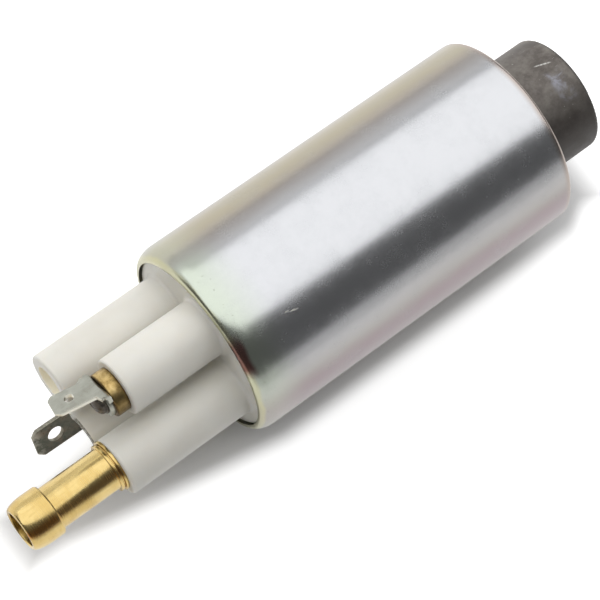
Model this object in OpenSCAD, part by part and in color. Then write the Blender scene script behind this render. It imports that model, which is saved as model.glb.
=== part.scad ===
// Electric fuel pump, lying on its side: a rolled steel shell, a moulded outlet cap with four towers,
// a brass hose barb, two blade terminals and a cast inlet neck. Inside are a two-pole brushed motor,
// a lobed gear pump, an outlet check valve and a pressure relief valve.
// The axis runs along X: outlet at -X, inlet at +X, the positive terminal's tower on top (+Z).
// The origin is on the axis, halfway along the shell. Stations named _x count from the shell's mouth.

/* [Shell] */
// Outside diameter of the steel shell
shell_od = 38; // [37.6:0.1:44]
// Length of the shell over its rolled ends
shell_len = 71.2; // [70:0.1:90]
// Wall of the shell between its two seats
shell_wall = 1.6; // [1.2:0.05:1.9]
// Wall of the thinned ends that are rolled over the caps
lip_wall = 0.6; // [0.5:0.05:0.8]
// How far the outlet end turns inward at its mouth
mouth_drop = 1.55; // [1.2:0.05:1.8]
// Length over which the outlet end turns inward
mouth_turn = 3.2; // [2.8:0.1:3.6]
// How far the inlet end is rolled inward
inlet_lip_reach = 2.8; // [1.8:0.1:3.2]
// Thickness of the rolled flat at the inlet end
inlet_lip_t = 0.8; // [0.6:0.05:1.0]
// Outside rounding of the inlet end
inlet_lip_round = 0.8; // [0.6:0.05:1.1]

/* [Outlet cap] */
// How far the cap's face lies behind the shell's mouth
face_set = 0.6; // [0.4:0.05:1.0]
// Thickness of the cap's flange behind its face
cap_flange_t = 4.4; // [4.0:0.1:5.0]
// Length of the spigot that goes into the shell
cap_spigot = 5.0; // [4.6:0.1:6]
// Wall around the pocket in the cap's inner side
cap_skirt_wall = 2.9; // [2.4:0.1:3.2]
// Diameter of the four towers
tower_d = 11.14; // [10.8:0.02:11.8]
// Distance of the towers from the pump's axis
tower_circle_r = 9.35; // [9.2:0.05:9.8]
// Height of the outlet tower above the face
tower_h = 25.5; // [22:0.1:32]
// Height of the relief tower above the face
relief_tower_h = 25.6; // [23:0.1:32]
// Height of the two terminal towers above the face
terminal_tower_h = 18.9; // [17:0.1:20]
// Fillet at the foot of each tower
tower_fillet = 0.8; // [0.4:0.1:1.0]
// Height of the open shroud over the negative terminal's tower
shroud_h = 6.1; // [4:0.1:8]
// Wall of that shroud
shroud_wall = 1.2; // [0.9:0.05:1.3]
// Angle that the shroud covers
shroud_span = 112; // [90:1:120]

/* [Hose barb] */
// Outside diameter of the barb's tube
barb_d = 8.12; // [7.8:0.02:8.2]
// Bore of the barb
barb_bore = 6.8; // [6.4:0.1:7.0]
// Largest diameter of the bulb that holds the hose
bulb_d = 9.65; // [9.2:0.05:10.2]
// Length of the bulb with its rounded nose
bulb_len = 6.2; // [5.4:0.1:7.5]
// How far the barb stands out of its tower
barb_reach = 19.5; // [16:0.1:26]
// Diameter of the barb's flange
barb_flange_d = 9.85; // [9.0:0.05:10.4]
// Thickness of the barb's flange
barb_flange_t = 1.35; // [1.0:0.05:1.6]
// Length of tube held inside the tower
barb_insert = 11.5; // [9:0.1:13]
// Distance of the barb from the pump's axis
barb_circle_r = 8.65; // [8.4:0.05:8.8]

/* [Terminals] */
// Diameter of the brass bush on the positive tower
bush_d = 8.4; // [8.2:0.1:9.0]
// Height of the brass bush above its tower
bush_h = 2.65; // [1.6:0.05:3.2]
// Diameter of the bushes' shanks inside the towers
bush_shank_d = 5.8; // [5.4:0.1:6.2]
// Length of the bushes' shanks
bush_shank_len = 7.0; // [5:0.1:8]
// Thickness of the terminal strip
strip_t = 0.8; // [0.6:0.05:1.0]
// Inside radius of a terminal's bend
bend_r = 0.15; // [0.1:0.05:0.3]
// Diameter of a terminal's round foot
foot_d = 7.0; // [6.6:0.1:7.6]
// Diameter of the relief notches beside a terminal's bend
notch_d = 0.6; // [0.4:0.05:0.8]
// Length of the bevel at a blade's tip
tip_bevel = 0.8; // [0.4:0.05:1.2]
// Width of the positive blade
plus_blade_w = 4.8; // [4.2:0.1:5.0]
// Length of the positive blade above its foot
plus_blade_len = 9.0; // [7:0.1:12]
// How far the positive blade sits to one side of its rivet
plus_shift = -0.1; // [-0.4:0.1:0.6]
// Width of the positive terminal's root
plus_root_w = 7.2; // [6.4:0.1:7.4]
// How far that root sits to one side of the rivet
plus_root_shift = -0.3; // [-0.5:0.1:0.4]
// Turn of the positive blade's face about the axis, from straight up
plus_turn = 32; // [15:0.5:40]
// Lean of the positive blade along its own face
plus_lean = 10.5; // [0:0.5:12]
// Hole in the positive blade
plus_hole_d = 1.76; // [1.4:0.02:2.0]
// Distance of that hole from the blade's tip
plus_hole_from_tip = 3.4; // [3:0.1:4]
// Width of the negative blade
minus_blade_w = 6.4; // [5.4:0.1:6.6]
// Distance of the negative blade's face from its rivet's centre
minus_fold = 3.4; // [3.2:0.1:3.6]
// Length of the negative blade above its foot
minus_blade_len = 13.7; // [11:0.1:16]
// How far the negative blade sits to one side of its rivet
minus_shift = -1.1; // [-1.3:0.1:-0.8]
// Turn of the negative blade's face about the axis, from straight up
minus_turn = 118.7; // [112:0.1:130]
// Lean of the negative blade along its own face
minus_lean = -0.8; // [-2:0.1:2]
// Hole in the negative blade
minus_hole_d = 3.1; // [2.6:0.1:3.4]
// Distance of that hole from the blade's tip
minus_hole_from_tip = 4.3; // [4:0.1:5]
// Diameter of the rivet heads
rivet_head_d = 4.9; // [4.4:0.1:5.0]
// Width of the step around a rivet's head
rivet_step = 0.3; // [0.2:0.05:0.4]
// Thickness of that step
rivet_step_t = 0.35; // [0.25:0.05:0.5]
// Height of the rivet heads
rivet_head_h = 1.9; // [1.4:0.1:2.4]
// Diameter of the rivets' shanks
rivet_d = 2.4; // [2:0.1:3]

/* [Motor] */
// Diameter of the shaft
shaft_d = 4.0; // [3.6:0.1:4.4]
// Diameter of the armature core
core_d = 24.0; // [23.6:0.1:24.6]
// Length of the armature core
core_len = 20.0; // [16:0.5:20]
// Number of slots in the core and of segments on the commutator
slots = 8; // [8:1:8]
// Radius of a slot's round bottom
slot_r = 2.4; // [2.0:0.1:2.5]
// Air gap between the core and the magnets
air_gap = 0.6; // [0.4:0.05:0.8]
// Angle that each magnet covers
magnet_span = 125; // [110:1:135]
// Length of the magnets
magnet_len = 27.0; // [22:0.5:28]
// Brush size across the pump's radius
brush_r_size = 5.0; // [4.4:0.1:5.1]
// Brush size along the commutator
brush_t_size = 4.4; // [3.6:0.1:4.8]
// Length of a brush
brush_len = 9.0; // [7:0.1:9.5]
// Thickness of the commutator's segments
segment_t = 2.0; // [1.4:0.1:2.4]

/* [Gear pump] */
// Lobes on the inner gear, one fewer than the teeth of the outer one
inner_lobes = 6; // [6:1:6]
// Offset between the two gears' axes, as a share of the radius of the tooth circle
offset_share = 0.1038; // [0.09:0.0002:0.106]
// Radius of the outer gear's teeth, as a share of the radius of the tooth circle
tooth_share = 0.2736; // [0.26:0.0002:0.28]
// How far those teeth are centred inside the outer gear's rim
tooth_inset = 1.7; // [1.5:0.05:1.9]
// Depth of the outer gear's pockets below its rim
pocket_wall = 2.3; // [2.1:0.05:2.4]
// Wall of the ring around the outer gear, where the gears' axes are level
ring_wall = 5.1; // [4.8:0.1:5.4]
// Distance of the pump's screws from the shell's bore
screw_inset = 2.8; // [2.6:0.1:3.0]
// Thickness of both gears
gear_t = 6.0; // [4:0.1:7]
// Clearance between the gears, and around the outer one
gear_play = 0.08; // [0.06:0.01:0.1]
// Thickness of the discharge plate
plate_t = 5.0; // [4.6:0.1:6]

/* [Inlet] */
// Outside diameter of the inlet neck
neck_d = 23.2; // [22:0.1:25]
// Length of the neck beyond the shell
neck_len = 13.5; // [11:0.1:18]
// Bore of the neck
neck_bore = 19.2; // [18.8:0.1:20]
// Diameter of the collar at the neck's foot
collar_d = 24.2; // [24:0.1:27]
// Rounding of the neck's end
neck_round = 0.9; // [0.5:0.1:1.1]
// Depth of the notch in the neck's end
neck_notch = 0.3; // [0.2:0.05:1.0]
// Angle that this notch covers
neck_notch_span = 28; // [20:1:60]
// Thickness of the inlet body's flange
body_flange_t = 5.0; // [4.6:0.1:5.6]
// Length of the inlet body's spigot
body_spigot = 3.0; // [2.6:0.1:4]

/* [Valves] */
// Diameter of the check valve's chamber
chamber_d = 7.0; // [6.6:0.1:7.0]
// Hole that the check valve closes
check_hole_d = 4.2; // [3.8:0.1:4.4]
// Lift of the check valve
check_lift = 2.0; // [1.5:0.1:2.2]
// Diameter of the relief valve's ball
ball_d = 4.0; // [3.6:0.1:4.2]
// Hole that the ball closes
relief_hole_d = 2.8; // [2.2:0.1:3.0]
// Bore of the relief tower
relief_bore = 5.2; // [4.8:0.1:5.6]
// Wider mouth of that bore
relief_mouth_d = 6.8; // [6.2:0.1:7.4]
// Depth of this wider mouth
relief_mouth_depth = 3.0; // [2:0.1:6]
// Length of the relief valve's spring
relief_spring_len = 12; // [9:0.1:15]
// Coil radius of the brush springs, at the middle of the wire
brush_coil_r = 1.85; // [1.7:0.05:1.95]
// Wire radius of the brush springs
brush_wire_r = 0.24; // [0.18:0.02:0.28]

/* [Fits] */
// Play between pieces that sit in each other
fit = 0.05; // [0.03:0.01:0.08]
// Radial clearance of the shaft in its bearings
shaft_play = 0.03; // [0.02:0.01:0.05]

/* [Hidden] */
$fn = 96;

// Shell radii and seats
shell_r = shell_od / 2;
bore_r = shell_r - shell_wall;
seat_r = shell_r - lip_wall;
mouth_edge = 0.45;
cap_seat_x = face_set + cap_flange_t;
lip_x = shell_len - inlet_lip_t;
body_seat_x = lip_x - body_flange_t;
inlet_lip_r = shell_r - inlet_lip_reach;

// Outlet cap stations, from the shell's mouth
cap_end_x = cap_seat_x + cap_spigot;
cap_floor_x = cap_seat_x + 1.0;
tower_r = tower_d / 2;
tower_end_x = face_set - tower_h;
relief_end_x = face_set - relief_tower_h;
terminal_end_x = face_set - terminal_tower_h;
hub_r = 5.6;
upper_pocket_x = cap_end_x - 5.6;
guide_end_x = cap_end_x + 1.0;

// Seals: the ring, and the groove that holds it
seal_r = 0.68;
groove_depth = bore_r - fit - 2 * seal_r - 0.05;
seal_ring_r = groove_depth + seal_r + 0.04;
groove_w = 2 * seal_r + 0.06;
cap_groove_x = cap_seat_x + 1.3;
body_groove_x = body_seat_x - body_spigot + 0.8;

// Motor stations
shaft_r = shaft_d / 2;
press_r = shaft_r + 0.02;
free_r = shaft_r + 0.3;
core_r = core_d / 2;
commutator_x = guide_end_x + 2.0;
segment_in_r = tower_circle_r - brush_r_size / 2 - 0.45;
segment_out_r = tower_circle_r + brush_r_size / 2 + 0.15;
commutator_end_x = commutator_x + segment_t + 2.6;
coil_head_t = 3.2;
insulator_t = 0.6;
core_x = commutator_end_x + 0.6 + coil_head_t + insulator_t;
core_end_x = core_x + core_len;
slot_circle_r = core_r - 3.7;
slot_mouth = 1.6;
magnet_in_r = core_r + air_gap;
magnet_x = core_x + (core_len - magnet_len) / 2;
upper_bearing_r = 4.0;
retainer_t = 0.6;
washer_t = 0.5;
washer_r = 3.4;
upper_washer_x = cap_end_x + fit + 0.2;

// Pump stations
gear_end_x = body_seat_x - body_spigot;
gear_room = gear_t + 2 * fit;
ring_x = gear_end_x - gear_room;
plate_x = ring_x - plate_t;
boss_h = 2.0;
boss_x = plate_x - boss_h;
lower_bearing_r = 4.5;
lower_bearing_len = boss_h + plate_t - 1.4;
lower_washer_x = boss_x - fit - washer_t;
screw_r = 0.95;
screw_play = 0.15;
screw_circle_r = bore_r - screw_inset;
outer_gear_r = bore_r - ring_wall;
tooth_circle_r = outer_gear_r - tooth_inset;
tooth_r = tooth_share * tooth_circle_r;
gear_ecc = offset_share * tooth_circle_r;
pocket_r = outer_gear_r - pocket_wall;
port_w = 2.6;
port_r = tooth_circle_r - 2.4;
port_span = 124;
port_end_steps = 7;
screw_angles = [72, 180, 288];

// Clipped corners of the blades
plus_clip = 0.9;
minus_clip = 1.2;

// Valve stations
valve_seat_x = cap_seat_x + 0.5;
valve_boss_x = cap_end_x - 1.0;
seal_t = 0.8;
poppet_r = chamber_d / 2 - 0.6;
poppet_back_x = valve_seat_x - fit - seal_t - 1.0;
stem_r = 1.0;
barb_end_x = tower_end_x + barb_insert;
check_guide_t = 1.5;
check_step_x = barb_end_x + check_guide_t;
ball_r = ball_d / 2;
ball_x = valve_seat_x - sqrt(pow(ball_r, 2) - pow(relief_hole_d / 2, 2)) - fit;
relief_retainer_x = ball_x - ball_r - relief_spring_len;
relief_retainer_t = 3.0;
relief_retainer_hole_r = 1.3;

// Springs and leads: coil radius at the middle of the wire, wire radius, turns
brush_coils = 8;
shunt_coil_r = 0.75;
shunt_wire_r = 0.35;
shunt_coils = 4;
check_coil_r = chamber_d / 4;
check_wire_r = 0.25;
check_coils = 6;
relief_coil_r = ball_r - 0.35;
relief_wire_r = 0.28;
relief_coils = 6;

// Brush stations
brush_tail_x = commutator_x - brush_len;
brush_stop_x = brush_tail_x - 2.0;
shank_end_x = terminal_end_x + bush_shank_len;
brush_spring_bore = 2.3;

// Places of the towers across the axis, as [y, z]
positive_at = [0, tower_circle_r];
negative_at = [0, -tower_circle_r];
relief_at = [tower_circle_r, 0];
outlet_at = [-tower_circle_r, 0];
barb_at = [-barb_circle_r, 0];

// Colours
steel = "silver";
acetal = [0.85, 0.84, 0.81];
brass = [0.80, 0.64, 0.30];
tin = [0.68, 0.68, 0.66];
oxide = [0.24, 0.23, 0.20];
casting = [0.35, 0.34, 0.33];
copper = [0.72, 0.42, 0.24];
ferrite = [0.22, 0.22, 0.23];
carbon = [0.14, 0.14, 0.15];
black_rubber = [0.08, 0.08, 0.08];
spring_steel = [0.55, 0.56, 0.58];

// Everything is drawn from the shell's mouth and moved so that the origin is halfway along the shell
module placed() {
    translate([-shell_len / 2, 0, 0]) children();
}

// A solid of revolution about X from [radius, x] points
module turned(points) {
    rotate([0, 90, 0]) rotate_extrude() polygon(points);
}

// A round bar along X from x0 to x1, centred at [y, z]
module rod(x0, x1, r, at = [0, 0]) {
    translate([x0, at[0], at[1]]) rotate([0, 90, 0]) cylinder(h = x1 - x0, r = r);
}

// A rectangular bar along X from x0 to x1, centred at [y, z]
module bar(x0, x1, size_y, size_z, at = [0, 0]) {
    translate([x0, at[0] - size_y / 2, at[1] - size_z / 2]) cube([x1 - x0, size_y, size_z]);
}

// Part of a ring about X, from radius r0 to r1, covering span degrees about the angle mid.
// The angle is counted from -Z towards +Y.
module sector(x0, x1, r0, r1, mid, span) {
    translate([x0, 0, 0]) rotate([0, 90, 0]) rotate([0, 0, mid - span / 2])
        rotate_extrude(angle = span) translate([r0, 0]) square([r1 - r0, x1 - x0]);
}

// A place on a circle about X, counted from -Z towards +Y, as [y, z]
function around(r, a) = [r * sin(a), -r * cos(a)];

// A compression spring or a loose lead about X: wire of 6 sides swept along a helix
module helix(x0, x1, coil_r, wire_r, turns, at = [0, 0], steps = 12) {
    count = turns * steps;
    lead = x1 - x0 - 2 * wire_r;
    function ring(i) = [for (k = [0:5]) let (a = 360 * i / steps, b = 60 * k, r = coil_r + wire_r * cos(b))
        [x0 + wire_r + lead * i / count + wire_r * sin(b), at[0] + r * cos(a), at[1] + r * sin(a)]];
    polyhedron(
        points = [for (i = [0:count]) each ring(i)],
        faces = concat(
            [[0, 1, 2, 3, 4, 5]],
            [for (i = [0:count - 1]) for (k = [0:5]) let (a = 6 * i + k, b = 6 * i + (k + 1) % 6)
                each [[a, b + 6, b], [a, a + 6, b + 6]]],
            [[for (k = [5:-1:0]) 6 * count + k]]));
}

// Shell

// Radius of the rolled outlet end's inner side at a station within the turn
function lip_in(x) = let (start = shell_r - mouth_drop - mouth_edge, c = 1 - x / mouth_turn)
    start + (seat_r - start) * sqrt(1 - c * c);

module shell() {
    turn_out = [for (a = [0:9:90]) [shell_r - mouth_drop + mouth_drop * sin(a), mouth_turn * (1 - cos(a))]];
    turn_in = [for (a = [90:-9:0]) [lip_in(mouth_turn * (1 - cos(a))), mouth_turn * (1 - cos(a))]];
    roll = [for (a = [0:15:90]) [shell_r - inlet_lip_round * (1 - cos(a)),
        shell_len - inlet_lip_round * (1 - sin(a))]];
    color(steel) placed() turned(concat(
        turn_out,
        roll,
        [[inlet_lip_r, shell_len], [inlet_lip_r, lip_x], [seat_r, lip_x], [seat_r, body_seat_x],
         [bore_r, body_seat_x], [bore_r, cap_seat_x], [seat_r, cap_seat_x]],
        turn_in));
}

// Outlet cap

// One tower from the cap's body to end_x, with a fillet at its foot and a rounded rim
module tower(end_x, at) {
    rim = 0.5;
    foot = [for (a = [0:15:90])
        [tower_r + tower_fillet * (1 - sin(a)), face_set - tower_fillet * (1 - cos(a))]];
    translate([0, at[0], at[1]]) turned(concat(
        [[0, face_set + 1], [tower_r + tower_fillet, face_set + 1]],
        foot,
        [for (a = [0:30:90]) [tower_r - rim * (1 - cos(a)), end_x + rim * (1 - sin(a))]],
        [[0, end_x]]));
}

module cap_body() {
    rim_r = bore_r - 0.2;
    shoulder_x = face_set + 1.1;
    crimp_x = mouth_turn - 0.6;
    outer_r = bore_r - fit;
    turned([
        [0, face_set], [rim_r - 0.3, face_set], [rim_r, face_set + 0.3], [rim_r, shoulder_x],
        [lip_in(shoulder_x) - fit, shoulder_x], [lip_in(crimp_x) - fit, crimp_x],
        [seat_r - fit, mouth_turn], [seat_r - fit, cap_seat_x], [outer_r, cap_seat_x],
        [outer_r, cap_groove_x], [groove_depth, cap_groove_x],
        [groove_depth, cap_groove_x + groove_w], [outer_r, cap_groove_x + groove_w],
        [outer_r, cap_end_x], [outer_r - cap_skirt_wall, cap_end_x],
        [outer_r - cap_skirt_wall, cap_floor_x], [0, cap_floor_x]
    ]);
}

module brush_room(at) {
    bar(brush_stop_x, guide_end_x + 1, brush_t_size + 2 * fit, brush_r_size + 2 * fit, at);
    rod(shank_end_x - 1, brush_stop_x + 1, brush_spring_bore, at);
    rod(terminal_end_x - 1, shank_end_x, bush_shank_d / 2 + fit, at);
}

module outlet_cap() {
    guide_wall = 1.4;
    boss_wall = 1.8;
    web_t = 1.6;
    shroud_mid = 184;
    color(acetal) placed() difference() {
        union() {
            cap_body();
            tower(terminal_end_x, positive_at);
            tower(terminal_end_x, negative_at);
            tower(tower_end_x, outlet_at);
            tower(relief_end_x, relief_at);
            // Shroud between the two terminals, open on its outer side
            translate([0, negative_at[0], negative_at[1]])
                sector(terminal_end_x - shroud_h, terminal_end_x + 1, tower_r - shroud_wall, tower_r,
                    shroud_mid, shroud_span);
            // Hub of the bearing, guides of the brushes and bosses of the valves
            rod(cap_floor_x - 1, cap_end_x, hub_r);
            for (at = [positive_at, negative_at])
                bar(cap_floor_x - 1, guide_end_x, brush_t_size + 2 * guide_wall,
                    brush_r_size + 2 * guide_wall, at);
            rod(cap_floor_x - 1, valve_boss_x, check_hole_d / 2 + boss_wall, barb_at);
            rod(cap_floor_x - 1, valve_boss_x, relief_hole_d / 2 + boss_wall, relief_at);
            // Webs from the hub to the valve bosses
            bar(cap_floor_x - 1, valve_boss_x, 2 * tower_circle_r, web_t);
        }
        // Bearing pocket
        rod(upper_pocket_x, cap_end_x + 1, upper_bearing_r + fit);
        rod(upper_pocket_x - 2, upper_pocket_x + 1, free_r);
        // Brush rooms
        brush_room(positive_at);
        brush_room(negative_at);
        // Outlet passage: valve hole, chamber and the barb's seat
        rod(valve_seat_x - 1, cap_end_x + 2, check_hole_d / 2, barb_at);
        rod(check_step_x - 1, valve_seat_x, chamber_d / 2, barb_at);
        rod(tower_end_x - 1, check_step_x, barb_d / 2 + fit, barb_at);
        // Relief passage
        rod(valve_seat_x - 1, cap_end_x + 2, relief_hole_d / 2, relief_at);
        rod(relief_end_x - 1, valve_seat_x, relief_bore / 2, relief_at);
        rod(relief_end_x - 1, relief_end_x + relief_mouth_depth, relief_mouth_d / 2, relief_at);
    }
}

module seal_ring(x) {
    translate([x + groove_w / 2, 0, 0]) rotate([0, 90, 0])
        rotate_extrude() translate([seal_ring_r, 0]) circle(r = seal_r, $fn = 48);
}

module cap_seal() {
    color(black_rubber) placed() seal_ring(cap_groove_x);
}

// Hose barb: a tube with two rings at the tower, a groove between them, and a bulb near its tip
module outlet_barb() {
    tube_r = barb_d / 2;
    in_r = barb_bore / 2;
    flange_r = barb_flange_d / 2;
    flange_x = tower_end_x - barb_flange_t;
    bulb_r = bulb_d / 2;
    tip_x = tower_end_x - barb_reach;
    bulb_x = tip_x + bulb_len;
    tip_r = in_r + 0.45;
    back = 0.35;
    nose_len = bulb_len - 2.6;
    ring_step = 0.3;
    groove = 0.7;
    groove_x0 = tower_end_x - barb_flange_t * 0.4;
    groove_x1 = tower_end_x - barb_flange_t * 0.6;
    nose = [for (a = [0:15:90]) [tip_r + (bulb_r - tip_r) * cos(a), tip_x + nose_len * (1 - sin(a))]];
    color(brass) placed() translate([0, barb_at[0], barb_at[1]]) turned(concat(
        [[in_r, barb_end_x], [tube_r, barb_end_x], [tube_r, tower_end_x],
         [flange_r, tower_end_x], [flange_r, groove_x0], [flange_r - groove, groove_x0],
         [flange_r - groove, groove_x1], [flange_r - ring_step, groove_x1],
         [flange_r - ring_step, flange_x + 0.1], [flange_r - ring_step - 0.1, flange_x],
         [tube_r, flange_x],
         [tube_r, bulb_x], [bulb_r - back, bulb_x - 0.1], [bulb_r, bulb_x - back - 0.1]],
        nose,
        [[in_r + 0.15, tip_x], [in_r, tip_x + 0.2]]));
}

// Terminals

// Puts a terminal's own frame on a tower: Z points out of the pump, X is the blade's face normal
module on_tower(x, at, turn) {
    translate([x, at[0], at[1]]) rotate([0, -90, 0]) rotate([0, 0, turn]) children();
}

// A bush with a blind hole for the rivet. head_h is how far it stands above its tower.
module bush(at, head_h) {
    hole_r = rivet_d / 2 + fit;
    top_x = terminal_end_x - head_h;
    head = head_h > 0
        ? [[bush_d / 2, terminal_end_x], [bush_d / 2, top_x + 0.25], [bush_d / 2 - 0.25, top_x]]
        : [[bush_shank_d / 2, terminal_end_x]];
    translate([0, at[0], at[1]]) turned(concat(
        [[0, shank_end_x], [bush_shank_d / 2 - 0.3, shank_end_x], [bush_shank_d / 2, shank_end_x - 0.3],
         [bush_shank_d / 2, terminal_end_x]],
        head,
        [[hole_r, top_x], [hole_r, top_x + 4], [0, top_x + 4]]));
}

module positive_bush() {
    color(brass) placed() bush(positive_at, bush_h);
}

module negative_bush() {
    color(brass) placed() bush(negative_at, 0);
}

// Outline of a blade in its own plane, with clipped corners and a round hole
module blade_outline(w, len, clip, hole_d, hole_from_tip) {
    difference() {
        polygon([[-w / 2, 0], [w / 2, 0], [w / 2, len - clip], [w / 2 - clip * 0.8, len],
                 [-w / 2 + clip * 0.8, len], [-w / 2, len - clip]]);
        translate([0, len - hole_from_tip]) circle(d = hole_d, $fn = 48);
    }
}

// A blade of that outline, whose tip is bevelled on both faces
module blade(w, len, clip, hole_d, hole_from_tip) {
    thin = strip_t * 0.3;
    intersection() {
        rotate([90, 0, 90]) linear_extrude(strip_t) blade_outline(w, len, clip, hole_d, hole_from_tip);
        translate([0, w / 2 + 1, 0]) rotate([90, 0, 0]) linear_extrude(w + 2)
            polygon([[0, 0], [strip_t, 0], [strip_t, len - tip_bevel], [strip_t - thin, len],
                     [thin, len], [0, len - tip_bevel]]);
    }
}

// A strip terminal: a round foot under the rivet and a blade folded up beside it.
// fold is the distance of the blade's inner face from the rivet. shift is the blade's offset along
// the fold, and root_shift that of its wider root, which has a notch on each side of the bend.
module terminal(fold, shift, root_w, root_shift, blade_w, blade_len, lean, clip, hole_d, hole_from_tip) {
    root_h = 1.7;
    root_depth = 1.2;
    shoulder_h = 1.2;
    overlap = 1;
    out_r = strip_t + bend_r;
    bend = [for (a = [0:15:90]) [fold + strip_t - out_r + out_r * sin(a), out_r * (1 - cos(a))]];
    inner = [for (a = [90:-30:0]) [fold - bend_r + bend_r * sin(a), out_r - bend_r * cos(a)]];
    base_z = root_h - overlap;
    difference() {
        union() {
            intersection() {
                cylinder(h = strip_t, d = foot_d);
                translate([-foot_d, -foot_d, 0]) cube([foot_d + fold - bend_r, 2 * foot_d, strip_t]);
            }
            // Bent strip, drawn in the plane square to the fold
            translate([0, root_shift + root_w / 2, 0]) rotate([90, 0, 0]) linear_extrude(root_w)
                polygon(concat([[fold - root_depth, 0]], bend, [[fold + strip_t, root_h], [fold, root_h]],
                    inner, [[fold - root_depth, strip_t]]));
            // Sloping shoulder from the root to the blade
            translate([fold, 0, root_h]) rotate([90, 0, 90]) linear_extrude(strip_t)
                polygon([[root_shift - root_w / 2, -0.1], [root_shift + root_w / 2, -0.1],
                         [root_shift + root_w / 2, 0], [shift + blade_w / 2, shoulder_h],
                         [shift - blade_w / 2, shoulder_h * 0.3], [root_shift - root_w / 2, 0]]);
            // Blade, leaning along its own face
            translate([fold, shift, base_z]) rotate([-lean, 0, 0])
                blade(blade_w, blade_len - base_z, clip, hole_d, hole_from_tip);
        }
        translate([0, 0, -1]) cylinder(h = strip_t + 2, r = rivet_d / 2 + fit);
        for (side = [-1, 1])
            translate([fold - 1, root_shift + side * root_w / 2, root_h - notch_d / 2])
                rotate([0, 90, 0]) cylinder(h = strip_t + 2, d = notch_d, $fn = 24);
    }
}

module positive_terminal() {
    color(tin) placed() on_tower(terminal_end_x - bush_h, positive_at, plus_turn)
        terminal(rivet_head_d / 2 + rivet_step + bend_r + fit, plus_shift, plus_root_w, plus_root_shift,
            plus_blade_w, plus_blade_len, plus_lean, plus_clip, plus_hole_d, plus_hole_from_tip);
}

module negative_terminal() {
    color(oxide) placed() on_tower(terminal_end_x, negative_at, minus_turn)
        terminal(minus_fold, minus_shift, minus_blade_w, minus_shift,
            minus_blade_w, minus_blade_len, minus_lean, minus_clip, minus_hole_d, minus_hole_from_tip);
}

// A domed rivet with a stepped base, through a terminal's foot into the bush
module rivet(x, at) {
    head_r = rivet_head_d / 2;
    step_r = head_r + rivet_step;
    base_x = x - strip_t;
    side_x = base_x - rivet_head_h * 0.35;
    shank_x = x + 3.6;
    dome = [for (a = [0:15:90]) [head_r * cos(a), side_x - (rivet_head_h * 0.65) * sin(a)]];
    translate([0, at[0], at[1]]) turned(concat(
        [[0, shank_x], [rivet_d / 2, shank_x], [rivet_d / 2, base_x], [step_r, base_x],
         [step_r, base_x - rivet_step_t], [head_r, base_x - rivet_step_t]], dome));
}

module positive_rivet() {
    color(oxide) placed() rivet(terminal_end_x - bush_h, positive_at);
}

module negative_rivet() {
    color(oxide) placed() rivet(terminal_end_x, negative_at);
}

// Brushes

module brush(at) {
    bar(brush_tail_x, commutator_x, brush_t_size, brush_r_size, at);
}

module positive_brush() {
    color(carbon) placed() brush(positive_at);
}

module negative_brush() {
    color(carbon) placed() brush(negative_at);
}

module brush_spring(at) {
    helix(shank_end_x, brush_tail_x, brush_coil_r, brush_wire_r, brush_coils, at);
}

module positive_brush_spring() {
    color(spring_steel) placed() brush_spring(positive_at);
}

module negative_brush_spring() {
    color(spring_steel) placed() brush_spring(negative_at);
}

// The braided lead from a brush to its bush, coiled loosely inside the spring
module shunt(at) {
    helix(shank_end_x, brush_tail_x, shunt_coil_r, shunt_wire_r, shunt_coils, at);
}

module positive_shunt() {
    color(copper) placed() shunt(positive_at);
}

module negative_shunt() {
    color(copper) placed() shunt(negative_at);
}

// Check valve in the outlet tower

module check_poppet() {
    seal_x = valve_seat_x - fit;
    nose_r = check_hole_d / 2 - 0.4;
    stem_end_x = barb_end_x - check_lift;
    color(brass) placed() translate([0, barb_at[0], barb_at[1]]) turned([
        [0, stem_end_x], [stem_r - 0.2, stem_end_x], [stem_r, stem_end_x + 0.2], [stem_r, poppet_back_x],
        [poppet_r, poppet_back_x], [poppet_r, seal_x - seal_t], [stem_r, seal_x - seal_t],
        [stem_r, seal_x], [nose_r, seal_x], [nose_r, seal_x + 0.4], [nose_r - 0.7, seal_x + 1.2],
        [0, seal_x + 1.2]
    ]);
}

module check_seal() {
    seal_x = valve_seat_x - fit;
    color(black_rubber) placed() translate([0, barb_at[0], barb_at[1]]) turned([
        [stem_r + 0.02, seal_x - seal_t], [poppet_r - 0.1, seal_x - seal_t],
        [poppet_r - 0.1, seal_x], [stem_r + 0.02, seal_x]
    ]);
}

module check_spring() {
    color(spring_steel) placed()
        helix(check_step_x, poppet_back_x, check_coil_r, check_wire_r, check_coils, barb_at);
}

// The poppet's guide: a ring and a hub joined by three arms, held between the step and the barb
module check_guide() {
    ring_r = barb_d / 2 - 0.02;
    ring_t = 0.8;
    hub_wall_r = stem_r + 1.1;
    window = 84;
    color(acetal) placed() difference() {
        rod(barb_end_x, check_step_x, ring_r, barb_at);
        translate([0, barb_at[0], barb_at[1]]) for (a = [0:120:240])
            sector(barb_end_x - 1, check_step_x + 1, hub_wall_r, ring_r - ring_t, a, window);
        rod(barb_end_x - 1, check_step_x + 1, stem_r + 0.06, barb_at);
    }
}

// Relief valve

module relief_ball() {
    color(steel) placed() translate([ball_x, relief_at[0], relief_at[1]]) sphere(r = ball_r);
}

module relief_spring() {
    back_x = ball_x - sqrt(pow(ball_r, 2) - pow(relief_coil_r, 2)) - 0.3;
    color(spring_steel) placed()
        helix(relief_retainer_x, back_x, relief_coil_r, relief_wire_r, relief_coils, relief_at);
}

module relief_retainer() {
    color(brass) placed() difference() {
        rod(relief_retainer_x - relief_retainer_t, relief_retainer_x, relief_bore / 2 - fit, relief_at);
        rod(relief_retainer_x - relief_retainer_t - 1, relief_retainer_x + 1, relief_retainer_hole_r,
            relief_at);
    }
}

// Bearings and washers

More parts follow.
